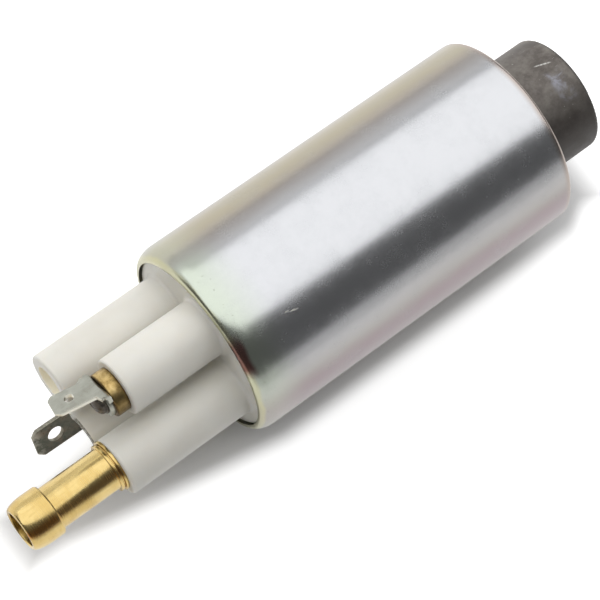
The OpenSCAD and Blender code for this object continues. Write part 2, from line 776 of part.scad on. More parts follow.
module bearing(x0, x1, r) {
    bevel = 0.3;
    in_r = shaft_r + shaft_play;
    turned([[in_r, x0], [r - bevel, x0], [r, x0 + bevel], [r, x1 - bevel], [r - bevel, x1], [in_r, x1]]);
}

module upper_bearing() {
    color(brass) placed() bearing(upper_pocket_x, cap_end_x - retainer_t, upper_bearing_r);
}

module bearing_retainer() {
    color(steel) placed() difference() {
        rod(cap_end_x - retainer_t, cap_end_x, upper_bearing_r);
        rod(cap_end_x - 2, cap_end_x + 1, shaft_r + 0.7);
    }
}

module lower_bearing() {
    color(brass) placed() bearing(boss_x, boss_x + lower_bearing_len, lower_bearing_r);
}

module thrust_washers() {
    color(oxide) placed() for (x = [upper_washer_x, lower_washer_x]) difference() {
        rod(x, x + washer_t, washer_r);
        rod(x - 1, x + washer_t + 1, press_r);
    }
}

// Magnets and their clips

module magnet(mid) {
    sector(magnet_x, magnet_x + magnet_len, magnet_in_r, bore_r - fit, mid, magnet_span);
}

module magnet_left() {
    color(ferrite) placed() magnet(90);
}

module magnet_right() {
    color(ferrite) placed() magnet(270);
}

// Two spring clips that press the magnets apart: an arc along the shell with a leg at each end
module magnet_clips() {
    gap = 180 - magnet_span;
    leg = 2.4;
    strip = 0.6;
    out_r = bore_r - fit;
    x1 = magnet_x + magnet_len;
    color(spring_steel) placed() for (mid = [0, 180]) difference() {
        sector(magnet_x, x1, magnet_in_r + 0.6, out_r, mid, gap);
        sector(magnet_x - 1, x1 + 1, magnet_in_r - 1, out_r - strip, mid, gap - 2 * leg);
    }
}

// Armature

module armature_shaft() {
    flat = shaft_r * 0.75;
    drive_x = ring_x - 0.6;
    end_x = gear_end_x + 1.4;
    start_x = upper_pocket_x - 0.8;
    color(steel) placed() difference() {
        turned([[0, start_x], [shaft_r - 0.3, start_x], [shaft_r, start_x + 0.3],
                [shaft_r, end_x - 0.3], [shaft_r - 0.3, end_x], [0, end_x]]);
        for (side = [-1, 1])
            bar(drive_x, end_x + 1, shaft_d + 2, shaft_r, [0, side * (flat + shaft_r / 2)]);
    }
}

// Slots of the core, cut with round bottoms and a narrow mouth
module slot_cuts(x0, x1, mouth_w) {
    for (i = [0:slots - 1]) {
        rod(x0, x1, slot_r, around(slot_circle_r, i * 360 / slots));
        rotate([i * 360 / slots, 0, 0]) bar(x0, x1, mouth_w, core_r, [0, slot_circle_r + core_r / 2]);
    }
}

module core_stack() {
    color(steel) placed() difference() {
        rod(core_x, core_end_x, core_r);
        rod(core_x - 1, core_end_x + 1, press_r);
        slot_cuts(core_x - 1, core_end_x + 1, slot_mouth);
    }
}

// Two end discs with sleeves along the shaft
module core_insulators() {
    sleeve_r = 4.6;
    disc_r = core_r - 0.4;
    color("white") placed() difference() {
        union() {
            rod(core_x - insulator_t, core_x, disc_r);
            rod(commutator_end_x, core_x, sleeve_r);
            rod(core_end_x, core_end_x + insulator_t, disc_r);
            rod(core_end_x, lower_washer_x, sleeve_r);
        }
        rod(commutator_end_x - 1, lower_washer_x + 1, press_r);
        rod(core_x, core_end_x, core_r + 1);
        slot_cuts(core_x - insulator_t - 1, core_end_x + insulator_t + 1, slot_mouth);
    }
}

// A coil head: the bundle of wire that crosses the core's end
module coil_head(x0) {
    in_r = 4.7;
    out_r = slot_circle_r + slot_r - 0.2;
    x1 = x0 + coil_head_t;
    b = 0.9;
    turned([[in_r, x0 + b / 2], [in_r + b, x0], [out_r - b, x0], [out_r, x0 + b],
            [out_r, x1 - b], [out_r - b, x1], [in_r + b, x1], [in_r, x1 - b / 2]]);
}

module windings() {
    color(copper) placed() union() {
        coil_head(core_x - insulator_t - coil_head_t);
        coil_head(core_end_x + insulator_t);
        for (i = [0:slots - 1])
            rod(core_x - insulator_t - 0.6, core_end_x + insulator_t + 0.6, slot_r - 0.15,
                around(slot_circle_r, i * 360 / slots));
    }
}

module commutator_hub() {
    base_x = commutator_x + segment_t;
    recess = 0.4;
    rim_r = segment_out_r + 0.2;
    color(carbon) placed() turned([
        [press_r, upper_washer_x + washer_t], [washer_r, upper_washer_x + washer_t],
        [washer_r, commutator_x + recess], [segment_in_r - fit, commutator_x + recess],
        [segment_in_r - fit, base_x], [rim_r, base_x],
        [rim_r, commutator_end_x], [press_r, commutator_end_x]
    ]);
}

// Copper segments with a hook each for the coil's wire
module commutator_segments() {
    pitch = 360 / slots;
    color(copper) placed() for (i = [0:slots - 1]) {
        sector(commutator_x, commutator_x + segment_t, segment_in_r, segment_out_r, i * pitch, pitch - 4);
        sector(commutator_x + 0.6, commutator_x + segment_t, segment_out_r - 0.2, segment_out_r + 0.8,
            i * pitch, 8);
    }
}

// Gear pump

// Centre of an outer tooth as seen from the inner gear, and the inner gear's outline:
// the curve that stays one tooth radius inside that path
function path_point(t) = let (n = inner_lobes + 1)
    [tooth_circle_r * cos(t) + gear_ecc * cos(n * t), tooth_circle_r * sin(t) + gear_ecc * sin(n * t)];
function path_slope(t) = let (n = inner_lobes + 1)
    [-tooth_circle_r * sin(t) - n * gear_ecc * sin(n * t),
     tooth_circle_r * cos(t) + n * gear_ecc * cos(n * t)];
function lobe_point(t) = let (p = path_point(t), d = path_slope(t), r = tooth_r + gear_play)
    [p[0] - r * d[1] / norm(d), p[1] + r * d[0] / norm(d)];
// The outline's points stand closer together in the valleys, where it bends back
function lobe_angle(u) = u + 0.85 * sin(inner_lobes * u) * 180 / PI / inner_lobes;

// Draws a flat shape, whose X is up (+Z), as a plate along the pump's axis
module gear_plate(x0, thickness) {
    translate([x0 + thickness, 0, 0]) rotate([0, -90, 0]) linear_extrude(thickness) children();
}

module inner_gear() {
    steps = 24 * inner_lobes;
    play = 0.04;
    flat = shaft_r * 0.75 + play;
    color(steel) placed() difference() {
        gear_plate(ring_x + fit, gear_t)
            polygon([for (i = [0:steps - 1]) lobe_point(lobe_angle(360 * i / steps))]);
        intersection() {
            rod(ring_x - 1, gear_end_x + 1, shaft_r + play);
            bar(ring_x - 1, gear_end_x + 1, shaft_d + 2, 2 * flat);
        }
    }
}

module outer_gear() {
    teeth = inner_lobes + 1;
    centre = [0, gear_ecc];
    x0 = ring_x + fit;
    x1 = x0 + gear_t;
    color(casting) placed() difference() {
        rod(x0, x1, outer_gear_r, centre);
        difference() {
            rod(x0 - 1, x1 + 1, pocket_r, centre);
            for (i = [0:teeth - 1]) let (a = i * 360 / teeth)
                rod(x0 - 2, x1 + 2, tooth_r,
                    [tooth_circle_r * sin(a), gear_ecc + tooth_circle_r * cos(a)]);
        }
    }
}

// Three screws' places
module screw_holes(x0, x1, r) {
    for (a = screw_angles) rod(x0, x1, r, [screw_circle_r * sin(a), screw_circle_r * cos(a)]);
}

// Outline of a kidney port: two arcs about the pump's axis, joined by round ends
function arc(r, at, a0, a1, steps) = [for (i = [0:steps]) let (a = a0 + (a1 - a0) * i / steps)
    [at[0] + r * cos(a), at[1] + r * sin(a)]];
function port_outline() = let (h = port_span / 2, w = port_w / 2) concat(
    arc(port_r + w, [0, 0], -h, h, 24),
    arc(w, [port_r * cos(h), port_r * sin(h)], h + 20, h + 160, port_end_steps),
    arc(port_r - w, [0, 0], h, -h, 18),
    arc(w, [port_r * cos(h), -port_r * sin(h)], 200 - h, 340 - h, port_end_steps));

// A kidney port through a plate, on the +Y side (1) or the -Y side (-1)
module port(x0, x1, side) {
    gear_plate(x0, x1 - x0) rotate(90 * side) polygon(port_outline());
}

module gear_ring() {
    color(casting) placed() difference() {
        rod(ring_x, gear_end_x, bore_r - fit);
        rod(ring_x - 1, gear_end_x + 1, outer_gear_r + gear_play, [0, gear_ecc]);
        screw_holes(ring_x - 1, gear_end_x + 1, screw_r + screw_play);
    }
}

module discharge_plate() {
    color(casting) placed() difference() {
        union() {
            rod(plate_x, ring_x, bore_r - fit);
            rod(boss_x, ring_x, lower_bearing_r + 1.8);
        }
        rod(boss_x - 1, boss_x + lower_bearing_len, lower_bearing_r + fit);
        rod(boss_x, ring_x + 1, shaft_r + 0.2);
        port(plate_x - 1, ring_x + 1, -1);
        screw_holes(plate_x - 1, ring_x + 1, screw_r + screw_play);
    }
}

module pump_screws() {
    head_r = 1.7;
    head_t = 1.1;
    slot_w = 0.5;
    slot_depth = 0.5;
    color(steel) placed() difference() {
        union() {
            screw_holes(plate_x - head_t, plate_x, head_r);
            screw_holes(plate_x - 0.2, body_seat_x + 1.2, screw_r);
        }
        for (a = screw_angles)
            bar(plate_x - head_t - 1, plate_x - head_t + slot_depth, slot_w, 4 * head_r,
                [screw_circle_r * sin(a), screw_circle_r * cos(a)]);
    }
}

// Inlet body: flange under the rolled lip, collar and neck, with the suction port in its floor
module inlet_body() {
    outer_r = bore_r - fit;
    groove_end = body_groove_x + groove_w;
    neck_r = neck_d / 2;
    collar_r = collar_d / 2;
    collar_end_x = shell_len + 0.9;
    face_x = shell_len - 0.35;
    end_x = shell_len + neck_len;
    rim = [for (a = [0:15:90]) [neck_r - neck_round * (1 - cos(a)), end_x - neck_round * (1 - sin(a))]];
    floor_x = body_seat_x + 2.0;
    neck_notch_mid = 223;
    color(casting) placed() difference() {
        turned(concat(
            [[0, gear_end_x], [outer_r, gear_end_x], [outer_r, body_groove_x],
             [groove_depth, body_groove_x], [groove_depth, groove_end], [outer_r, groove_end],
             [outer_r, body_seat_x], [seat_r - fit, body_seat_x], [seat_r - fit, lip_x],
             [inlet_lip_r - fit, lip_x], [inlet_lip_r - fit, face_x], [collar_r, face_x],
             [collar_r, collar_end_x - 0.15], [collar_r - 0.15, collar_end_x], [neck_r, collar_end_x]],
            rim,
            [[neck_bore / 2 + 0.3, end_x], [neck_bore / 2, end_x - 0.3], [neck_bore / 2, floor_x],
             [0, floor_x]]));
        port(gear_end_x - 1, floor_x + 1, 1);
        // Notch in the neck's end
        sector(end_x - neck_notch, end_x + 1, neck_bore / 2 - 1, neck_r + 1,
            neck_notch_mid, neck_notch_span);
        rod(gear_end_x - 1, gear_end_x + 1.8, free_r);
        screw_holes(gear_end_x - 1, body_seat_x + 1.5, screw_r + fit);
    }
}

module body_seal() {
    color(black_rubber) placed() seal_ring(body_groove_x);
}

shell();
outlet_cap();
cap_seal();
outlet_barb();
positive_bush();
positive_terminal();
positive_rivet();
negative_bush();
negative_terminal();
negative_rivet();
positive_brush();
positive_brush_spring();
positive_shunt();
negative_brush();
negative_brush_spring();
negative_shunt();
check_poppet();
check_seal();
check_spring();
check_guide();
relief_ball();
relief_spring();
relief_retainer();
upper_bearing();
bearing_retainer();
magnet_left();
magnet_right();
magnet_clips();
armature_shaft();
core_stack();
windings();
core_insulators();
commutator_hub();
commutator_segments();
thrust_washers();
discharge_plate();
lower_bearing();
gear_ring();
inner_gear();
outer_gear();
pump_screws();
inlet_body();
body_seal();
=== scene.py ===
"""Looks of an electric fuel pump: plated shell, moulded cap, hose barb, terminals and inlet neck."""

import math

import bmesh
import bpy
from mathutils import Matrix, Vector


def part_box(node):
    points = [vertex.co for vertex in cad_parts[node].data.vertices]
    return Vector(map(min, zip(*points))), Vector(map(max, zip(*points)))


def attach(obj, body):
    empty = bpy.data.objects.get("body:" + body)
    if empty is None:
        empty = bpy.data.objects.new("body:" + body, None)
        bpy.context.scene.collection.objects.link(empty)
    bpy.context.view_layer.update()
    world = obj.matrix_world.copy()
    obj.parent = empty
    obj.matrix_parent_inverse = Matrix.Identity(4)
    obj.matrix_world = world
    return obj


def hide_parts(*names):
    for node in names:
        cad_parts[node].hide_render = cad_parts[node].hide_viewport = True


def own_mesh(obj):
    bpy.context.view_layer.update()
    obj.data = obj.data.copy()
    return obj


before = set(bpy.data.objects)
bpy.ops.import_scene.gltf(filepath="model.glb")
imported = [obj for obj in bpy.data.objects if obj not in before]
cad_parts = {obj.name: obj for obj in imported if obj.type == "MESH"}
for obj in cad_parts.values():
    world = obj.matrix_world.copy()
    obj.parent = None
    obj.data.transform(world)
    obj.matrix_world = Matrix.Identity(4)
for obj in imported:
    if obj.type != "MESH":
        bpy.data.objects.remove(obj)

bl_info = {
    "name": "Electric Fuel Pump",
    "version": (1, 0, 0),
    "blender": (4, 5, 0),
    "location": "3D Viewport > Sidebar > Fuel Pump",
    "description": "Dresses a round electric fuel pump with its metal and plastic finishes",
    "category": "Add Mesh",
}

MM = 0.001
HOUSING = "housing"

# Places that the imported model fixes
SHELL_LOW, SHELL_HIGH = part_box("shell")
BARB_LOW, BARB_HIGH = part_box("outlet_barb")
BUSH_LOW, BUSH_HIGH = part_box("positive_bush")
RIVET_LOW, RIVET_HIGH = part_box("positive_rivet")
DARK_RIVET_LOW, DARK_RIVET_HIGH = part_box("negative_rivet")
SHELL_FRONT = SHELL_LOW.x
SHELL_REAR = SHELL_HIGH.x
SHELL_LENGTH = SHELL_REAR - SHELL_FRONT
SHELL_R = SHELL_HIGH.z
NECK_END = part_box("inlet_body")[1].x
MINUS_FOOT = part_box("negative_bush")[0].x
MINUS_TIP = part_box("negative_terminal")[0].x
BARB_AXIS = ((BARB_LOW.y + BARB_HIGH.y) / 2, (BARB_LOW.z + BARB_HIGH.z) / 2)
PLUS_AXIS = ((BUSH_LOW.y + BUSH_HIGH.y) / 2, (BUSH_LOW.z + BUSH_HIGH.z) / 2)
MINUS_AXIS = (PLUS_AXIS[0], -PLUS_AXIS[1])
RELIEF_AXIS = (PLUS_AXIS[1], 0.0)

# How far the cap's face sits inside the shell's mouth
FACE_SET = 0.6 * MM
CAP_FACE = SHELL_FRONT + FACE_SET
# How far the negative rivet reaches into its tower, and how far the shroud stands past that tower
RIVET_REACH = 3.6 * MM
SHROUD_REACH = 6.1 * MM
SHROUD_END = DARK_RIVET_HIGH.x - RIVET_REACH - SHROUD_REACH
# Length of the positive bush inside its tower, and width of the step round a rivet's head
BUSH_SHANK = 7.0 * MM
RIVET_STEP = 0.3 * MM
# Travel of the brushes and of the two valves
BRUSH_TRAVEL = 1.5 * MM
VALVE_TRAVEL = 2.0 * MM


# Mesh helpers


def angles(start, stop, step):
    """Angles in radians from whole degrees."""
    return [math.radians(a) for a in range(start, stop, step)]


def finish_piece(name, bm, sharp=math.radians(35)):
    """Writes a bmesh to a new object in the scene, smooth up to the sharp angle."""
    bmesh.ops.remove_doubles(bm, verts=bm.verts, dist=1e-7)
    bmesh.ops.recalc_face_normals(bm, faces=bm.faces)
    mesh = bpy.data.meshes.new(name)
    bm.to_mesh(mesh)
    bm.free()
    mesh.shade_smooth()
    mesh.set_sharp_from_angle(angle=sharp)
    piece = bpy.data.objects.new(name, mesh)
    bpy.context.scene.collection.objects.link(piece)
    return piece


def chain(bm, points, closed):
    """A line of edges through points; closed joins its ends."""
    verts = [bm.verts.new(p) for p in points]
    pairs = list(zip(verts, verts[1:]))
    if closed:
        pairs.append((verts[-1], verts[0]))
    for a, b in pairs:
        bm.edges.new((a, b))
    return verts


def turned(bm, profile, axis=(0.0, 0.0), steps=128, closed=True, soft=0.0, segments=3):
    """Revolves a profile of (x, radius) in metres about an axis along X at (y, z).

    Every corner that lies off the axis is rounded by soft.
    """
    points = [(x, axis[0], axis[1] + r) for x, r in profile]
    verts = chain(bm, points, closed)
    if soft > 0.0:
        corners = [v for v, (x, r) in zip(verts, profile) if r > 1e-6 and len(v.link_edges) == 2]
        bmesh.ops.bevel(
            bm, geom=corners, offset=soft, offset_type="OFFSET", segments=segments,
            profile=0.5, affect="VERTICES", material=-1,
        )
    loop = [e for e in bm.edges if not e.link_faces]
    bmesh.ops.spin(
        bm, geom=list({v for e in loop for v in e.verts}) + loop,
        cent=(0.0, axis[0], axis[1]), axis=(1.0, 0.0, 0.0), dvec=(0.0, 0.0, 0.0),
        angle=2.0 * math.pi, steps=steps, use_merge=True,
    )


def flat_blank(bm, outline, hole, thickness, steps=48):
    """A flat blank with a round hole: outline points (across, along), hole as (across, along, radius)."""
    chain(bm, [(u, v, 0.0) for u, v in outline], True)
    u, v, r = hole
    turn = [2.0 * math.pi * i / steps for i in range(steps)]
    chain(bm, [(u + r * math.cos(a), v + r * math.sin(a), 0.0) for a in turn], True)
    bmesh.ops.triangle_fill(bm, edges=bm.edges[:], use_beauty=True, use_dissolve=False)
    raised = bmesh.ops.extrude_face_region(bm, geom=bm.faces[:])
    top = [g for g in raised["geom"] if isinstance(g, bmesh.types.BMVert)]
    bmesh.ops.translate(bm, verts=top, vec=(0.0, 0.0, thickness))
    bmesh.ops.recalc_face_normals(bm, faces=bm.faces)


def soften(bm, offset, segments=2, limit=math.radians(40)):
    """Rounds every edge sharper than the limit."""
    edges = [e for e in bm.edges if len(e.link_faces) == 2 and e.calc_face_angle(0.0) > limit]
    bmesh.ops.bevel(
        bm, geom=edges, offset=offset, offset_type="OFFSET", segments=segments, profile=0.5,
        affect="EDGES", material=-1, clamp_overlap=True,
    )


def cut_rows(bm, places):
    """Cuts the whole mesh along planes of equal second coordinate."""
    for v in places:
        bmesh.ops.bisect_plane(
            bm, geom=bm.verts[:] + bm.edges[:] + bm.faces[:], dist=1e-8, plane_co=(0.0, v, 0.0),
            plane_no=(0.0, 1.0, 0.0))


def on_tower(point, x, axis, turn):
    """A terminal's own frame on a tower: Z points out of the pump, X is the blade's face normal."""
    lx, ly, lz = point
    c, s = math.cos(turn), math.sin(turn)
    return (x - lz, axis[0] + lx * s + ly * c, axis[1] + lx * c - ly * s)


# Material helpers


class Finish:
    """A material under construction, with short calls for the nodes that the finishes share."""

    def __init__(self, name, roughness=0.5, metallic=0.0, color=(0.8, 0.8, 0.8)):
        self.material = bpy.data.materials.new(name)
        self.material.use_nodes = True
        self.nodes = self.material.node_tree.nodes
        self.links = self.material.node_tree.links
        self.nodes.clear()
        self.output = self.nodes.new("ShaderNodeOutputMaterial")
        self.shader = self.nodes.new("ShaderNodeBsdfPrincipled")
        self.links.new(self.shader.outputs["BSDF"], self.output.inputs["Surface"])
        self.shader.inputs["Roughness"].default_value = roughness
        self.shader.inputs["Metallic"].default_value = metallic
        self.shader.inputs["Base Color"].default_value = (*color, 1.0)
        self.place = self.nodes.new("ShaderNodeTexCoord").outputs["Object"]

    def set(self, socket, value):
        """Sets a constant on the shader."""
        self.shader.inputs[socket].default_value = value

    def add(self, kind, **inputs):
        """Adds a node; each keyword names an input, with _ for a space, and holds a number or a socket."""
        node = self.nodes.new(kind)
        for name, value in inputs.items():
            socket = node.inputs[name.replace("_", " ")]
            if isinstance(value, bpy.types.NodeSocket):
                self.links.new(value, socket)
            else:
                socket.default_value = value
        return node

    def noise(self, scale, detail=3.0, rough=0.5, stretch=None, distortion=0.0):
        """A noise value; scale is in features per metre, and stretch multiplies it on each axis."""
        place = self.place
        if stretch:
            place = self.add("ShaderNodeMapping", Vector=place, Scale=stretch).outputs["Vector"]
        return self.add("ShaderNodeTexNoise", Vector=place, Scale=scale, Detail=detail, Roughness=rough,
                        Distortion=distortion).outputs["Fac"]

    def math(self, operation, a, b=0.5):
        """One step of arithmetic on sockets or numbers."""
        node = self.nodes.new("ShaderNodeMath")
        node.operation = operation
        for index, value in enumerate((a, b)):
            if isinstance(value, (int, float)):
                node.inputs[index].default_value = value
            else:
                self.links.new(value, node.inputs[index])
        return node.outputs["Value"]

    def plus(self, a, b):
        """The sum of two sockets or numbers."""
        return self.math("ADD", a, b)

    def minus(self, a, b):
        """The difference of two sockets or numbers."""
        return self.math("SUBTRACT", a, b)

    def times(self, first, *others):
        """The product of sockets or numbers."""
        for other in others:
            first = self.math("MULTIPLY", first, other)
        return first

    def larger(self, first, *others):
        """The largest of sockets or numbers."""
        for other in others:
            first = self.math("MAXIMUM", first, other)
        return first

    def ranged(self, value, low, high, to_low=0.0, to_high=1.0, smooth=True):
        """Maps a value's range to another, held at its ends."""
        node = self.add("ShaderNodeMapRange", Value=value, From_Min=low, From_Max=high, To_Min=to_low,
                        To_Max=to_high)
        node.interpolation_type = "SMOOTHSTEP" if smooth else "LINEAR"
        node.clamp = True
        return node.outputs["Result"]

    def fade(self, value, low, high, top=1.0):
        """Falls from top to 0 over a range."""
        return self.ranged(value, low, high, top, 0.0)

    def near(self, value, middle, full, none):
        """1 up to full away from the middle, and 0 from none away."""
        return self.fade(self.math("ABSOLUTE", self.minus(value, middle)), full, none)

    def ramp(self, value, stops):
        """A colour ramp from (position, red, green, blue) stops, with colours as 0 to 255 values."""
        node = self.add("ShaderNodeValToRGB", Fac=value)
        elements = node.color_ramp.elements
        while len(elements) < len(stops):
            elements.new(0.5)
        for element, (position, *color) in zip(elements, sorted(stops)):
            element.position = position
            element.color = (*srgb(*color), 1.0)
        return node.outputs["Color"]

    def mix(self, factor, a, b):
        """Mixes two colours, each a socket or a colour."""
        node = self.nodes.new("ShaderNodeMix")
        node.data_type = "RGBA"
        for socket, value in (("Factor", factor), ("A", a), ("B", b)):
            target = [i for i in node.inputs if i.name == socket and i.enabled][0]
            if isinstance(value, (int, float)):
                target.default_value = value
            elif isinstance(value, tuple):
                target.default_value = (*value, 1.0)
            else:
                self.links.new(value, target)
        return [o for o in node.outputs if o.enabled][0]

    def stain(self, tone, value, low, high, share, color):
        """Covers a tone with a share of a colour, given as 0 to 255 values, where a value is high."""
        return self.mix(self.ranged(value, low, high, 0.0, share), tone, srgb(*color))

    def color(self, value):
        """Links the base colour."""
        self.links.new(value, self.shader.inputs["Base Color"])

    def roughness(self, value):
        """Links the roughness."""
        self.links.new(value, self.shader.inputs["Roughness"])

    def bump(self, height, distance):
        """Adds a bump of a real height in metres."""
        node = self.add("ShaderNodeBump", Strength=1.0, Distance=distance, Height=height)
        self.links.new(node.outputs["Normal"], self.shader.inputs["Normal"])

    def attribute(self, name):
        """A named mesh attribute as a value."""
        node = self.nodes.new("ShaderNodeAttribute")
        node.attribute_name = name
        return node.outputs["Fac"]

    def turn_about(self, axis=(0.0, 0.0)):
        """Share of a turn about an axis along X: 0.5 on top, more towards -Y."""
        y, z = self.axes()[1:]
        low = self.times(self.minus(y, axis[0]), -1.0)
        around = self.math("ARCTAN2", low, self.minus(z, axis[1]))
        return self.plus(self.math("DIVIDE", around, 2.0 * math.pi), 0.5)

    def away_from(self, axis):
        """Distance from an axis along X."""
        y, z = self.axes()[1:]
        across = self.math("POWER", self.minus(y, axis[0]), 2.0)
        up = self.math("POWER", self.minus(z, axis[1]), 2.0)
        return self.math("SQRT", self.plus(across, up))

    def axes(self):
        """Object X, Y and Z as three sockets."""
        return tuple(self.add("ShaderNodeSeparateXYZ", Vector=self.place).outputs)


def srgb(r, g, b):
    """A colour given as 0 to 255 values, made linear."""
    def linear(v):
        v /= 255.0
        return v / 12.92 if v <= 0.04045 else ((v + 0.055) / 1.055) ** 2.4
    return (linear(r), linear(g), linear(b))


def dress(piece, finish):
    """Gives a piece one material."""
    piece.data.materials.clear()
    piece.data.materials.append(finish.material)


def dress_node(node, finish):
    """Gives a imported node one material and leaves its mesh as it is."""
    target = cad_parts[node]
    if not target.material_slots:
        target.data.materials.append(finish.material)
    for entry in target.material_slots:
        entry.material = finish.material


# Finishes

# Tints of the zinc plate (painted highlight on top, painted shade on the sides), of the film on it (partly
# painted reflections) and of its rolled rim (with a painted dark reflection), as 0 to 255 values
PLATE_PAINTED_HIGHLIGHT, PLATE_PAINTED_SHADE = (196, 197, 200), (152, 145, 138)
FILM_STRAW_SHEEN, FILM_ROSE_SHEEN, FILM_GREEN = (166, 158, 138), (154, 141, 144), (186, 196, 176)
RIM_STRAW, RIM_PAINTED_REFLECTION = (190, 186, 144), (118, 66, 60)
# Scratch on the shell and nick on the neck: where each lies along X and as a share of a turn, and how
# many turns it leans over in a metre
SCRATCH_X, SCRATCH_TURN, SCRATCH_LEAN = -0.0238, 0.5688, 2.7
NICK_X, NICK_TURN, NICK_LEAN = 0.0450, 0.45085, 5.1


def plated_steel():
    """Zinc plate with a painted highlight on top and painted shade on its sides, a film that turns straw
    and rose in painted reflections at the highlight's edges and green near the mouth, and a painted dark
    reflection on the rim.
    """
    f = Finish("plated_steel", roughness=0.24, metallic=1.0)
    x = f.axes()[0]
    turn = f.turn_about()
    drift = f.noise(70.0, stretch=(0.35, 1.0, 1.0))
    wavy = f.plus(turn, f.times(f.minus(drift, 0.5), 0.03))
    depth = f.minus(x, SHELL_FRONT)
    along = f.plus(depth, f.times(f.minus(f.noise(160.0), 0.5), 0.0012))
    # Painted highlight: a band round the top gets the lighter tint and the rest the darker, standing in for
    # the overhead light
    painted_highlight = f.times(f.ranged(wavy, 0.38, 0.44), f.fade(wavy, 0.60, 0.72))
    tint = f.mix(painted_highlight, srgb(*PLATE_PAINTED_SHADE), srgb(*PLATE_PAINTED_HIGHLIGHT))
    # Film tints placed in bands at the painted highlight's edges, where they are painted reflections
    tint = f.mix(f.near(wavy, 0.35, 0.01, 0.05), tint, srgb(*FILM_STRAW_SHEEN))
    tint = f.mix(f.near(wavy, 0.72, 0.01, 0.05), tint, srgb(*FILM_ROSE_SHEEN))
    # Green film near the mouth, made stronger where the painted highlight lies
    rolled = f.times(f.fade(along, 0.0015, 0.0110, 0.7), f.ranged(painted_highlight, 0.0, 1.0, 0.4, 1.0))
    tint = f.mix(rolled, tint, srgb(*FILM_GREEN))
    tint = f.mix(f.fade(along, 0.0003, 0.0010, 0.6), tint, srgb(*RIM_STRAW))
    # Painted reflection: a dark reddish-brown sector of the rolled rim, where a dark reflection lies
    rim_reflection = f.times(f.near(wavy, 0.590, 0.018, 0.042), f.fade(along, 0.0010, 0.0020, 0.9))
    tint = f.mix(rim_reflection, tint, srgb(*RIM_PAINTED_REFLECTION))
    tail = f.ranged(depth, SHELL_LENGTH - 0.0018, SHELL_LENGTH - 0.0004)
    tint = f.mix(tail, tint, srgb(170, 158, 150))
    grain = f.noise(5200.0, detail=1.0)
    clouds = f.noise(240.0, detail=4.0, rough=0.6)
    tint = f.stain(tint, clouds, 0.35, 0.72, 0.12, (168, 172, 174))
    specks = f.times(f.ranged(f.noise(2100.0, detail=2.0), 0.70, 0.76), f.fade(depth, 0.0030, 0.0045))
    tint = f.mix(f.times(specks, 0.7), tint, srgb(84, 80, 66))
    slant = f.minus(turn, f.times(f.minus(x, SCRATCH_X), SCRATCH_LEAN))
    broken = f.ranged(f.noise(1.0, detail=2.0, stretch=(500.0, 5000.0, 5000.0)), 0.42, 0.60)
    scratch = f.times(
        f.near(slant, SCRATCH_TURN, 0.0007, 0.0018), f.near(x, SCRATCH_X, 0.0007, 0.0019), broken)
    tint = f.mix(f.times(scratch, 0.7), tint, srgb(240, 238, 222))
    f.color(tint)
    rough = f.plus(f.ranged(clouds, 0.3, 0.75, 0.22, 0.27), f.ranged(grain, 0.3, 0.7, -0.01, 0.02))
    f.roughness(f.plus(rough, f.times(scratch, 0.35)))
    f.bump(grain, 0.0000010)
    return f


def moulded_acetal():
    """White acetal, faintly translucent, with mould marks, specks on the shroud and painted light in its
    open bore, which is lightened to cream and glows.
    """
    f = Finish("moulded_acetal", roughness=0.40)
    clouds = f.noise(120.0)
    specks = f.noise(1500.0, detail=2.0)
    tone = f.mix(f.ranged(clouds, 0.3, 0.7), srgb(222, 219, 210), srgb(228, 226, 218))
    x, y, z = f.axes()
    # Painted light: the open bore of the relief tower is made light cream
    bore = f.times(
        f.fade(f.away_from(RELIEF_AXIS), 0.00345, 0.00350), f.fade(x, CAP_FACE, CAP_FACE + 0.001))
    tone = f.mix(bore, tone, srgb(236, 232, 218))
    shroud = f.times(f.fade(y, 0.0026, 0.0032), f.ranged(y, -0.0034, -0.0026), f.fade(z, 0.0016, 0.0026))
    burr = f.times(f.fade(x, SHROUD_END + 0.0004, SHROUD_END + 0.0016), f.ranged(specks, 0.64, 0.69))
    scorch = f.times(
        f.fade(x, SHROUD_END + 0.0001, SHROUD_END + 0.0003),
        f.times(f.ranged(z, -0.0022, -0.0030), f.ranged(specks, 0.36, 0.52, 0.3, 1.0)))
    f.color(f.mix(f.times(shroud, f.larger(burr, scorch), 0.85), tone, srgb(86, 82, 68)))
    # Painted light: the bore glows faintly cream, as if lit through the plastic
    f.links.new(f.mix(bore, (0.0, 0.0, 0.0), srgb(210, 202, 178)), f.shader.inputs["Emission Color"])
    f.set("Emission Strength", 0.15)
    f.roughness(f.ranged(clouds, 0.3, 0.7, 0.34, 0.46))
    f.set("Subsurface Weight", 0.45)
    f.set("Subsurface Radius", (1.0, 0.88, 0.72))
    f.set("Subsurface Scale", 0.0016)
    f.bump(f.noise(2600.0, detail=2.0), 0.000004)
    return f


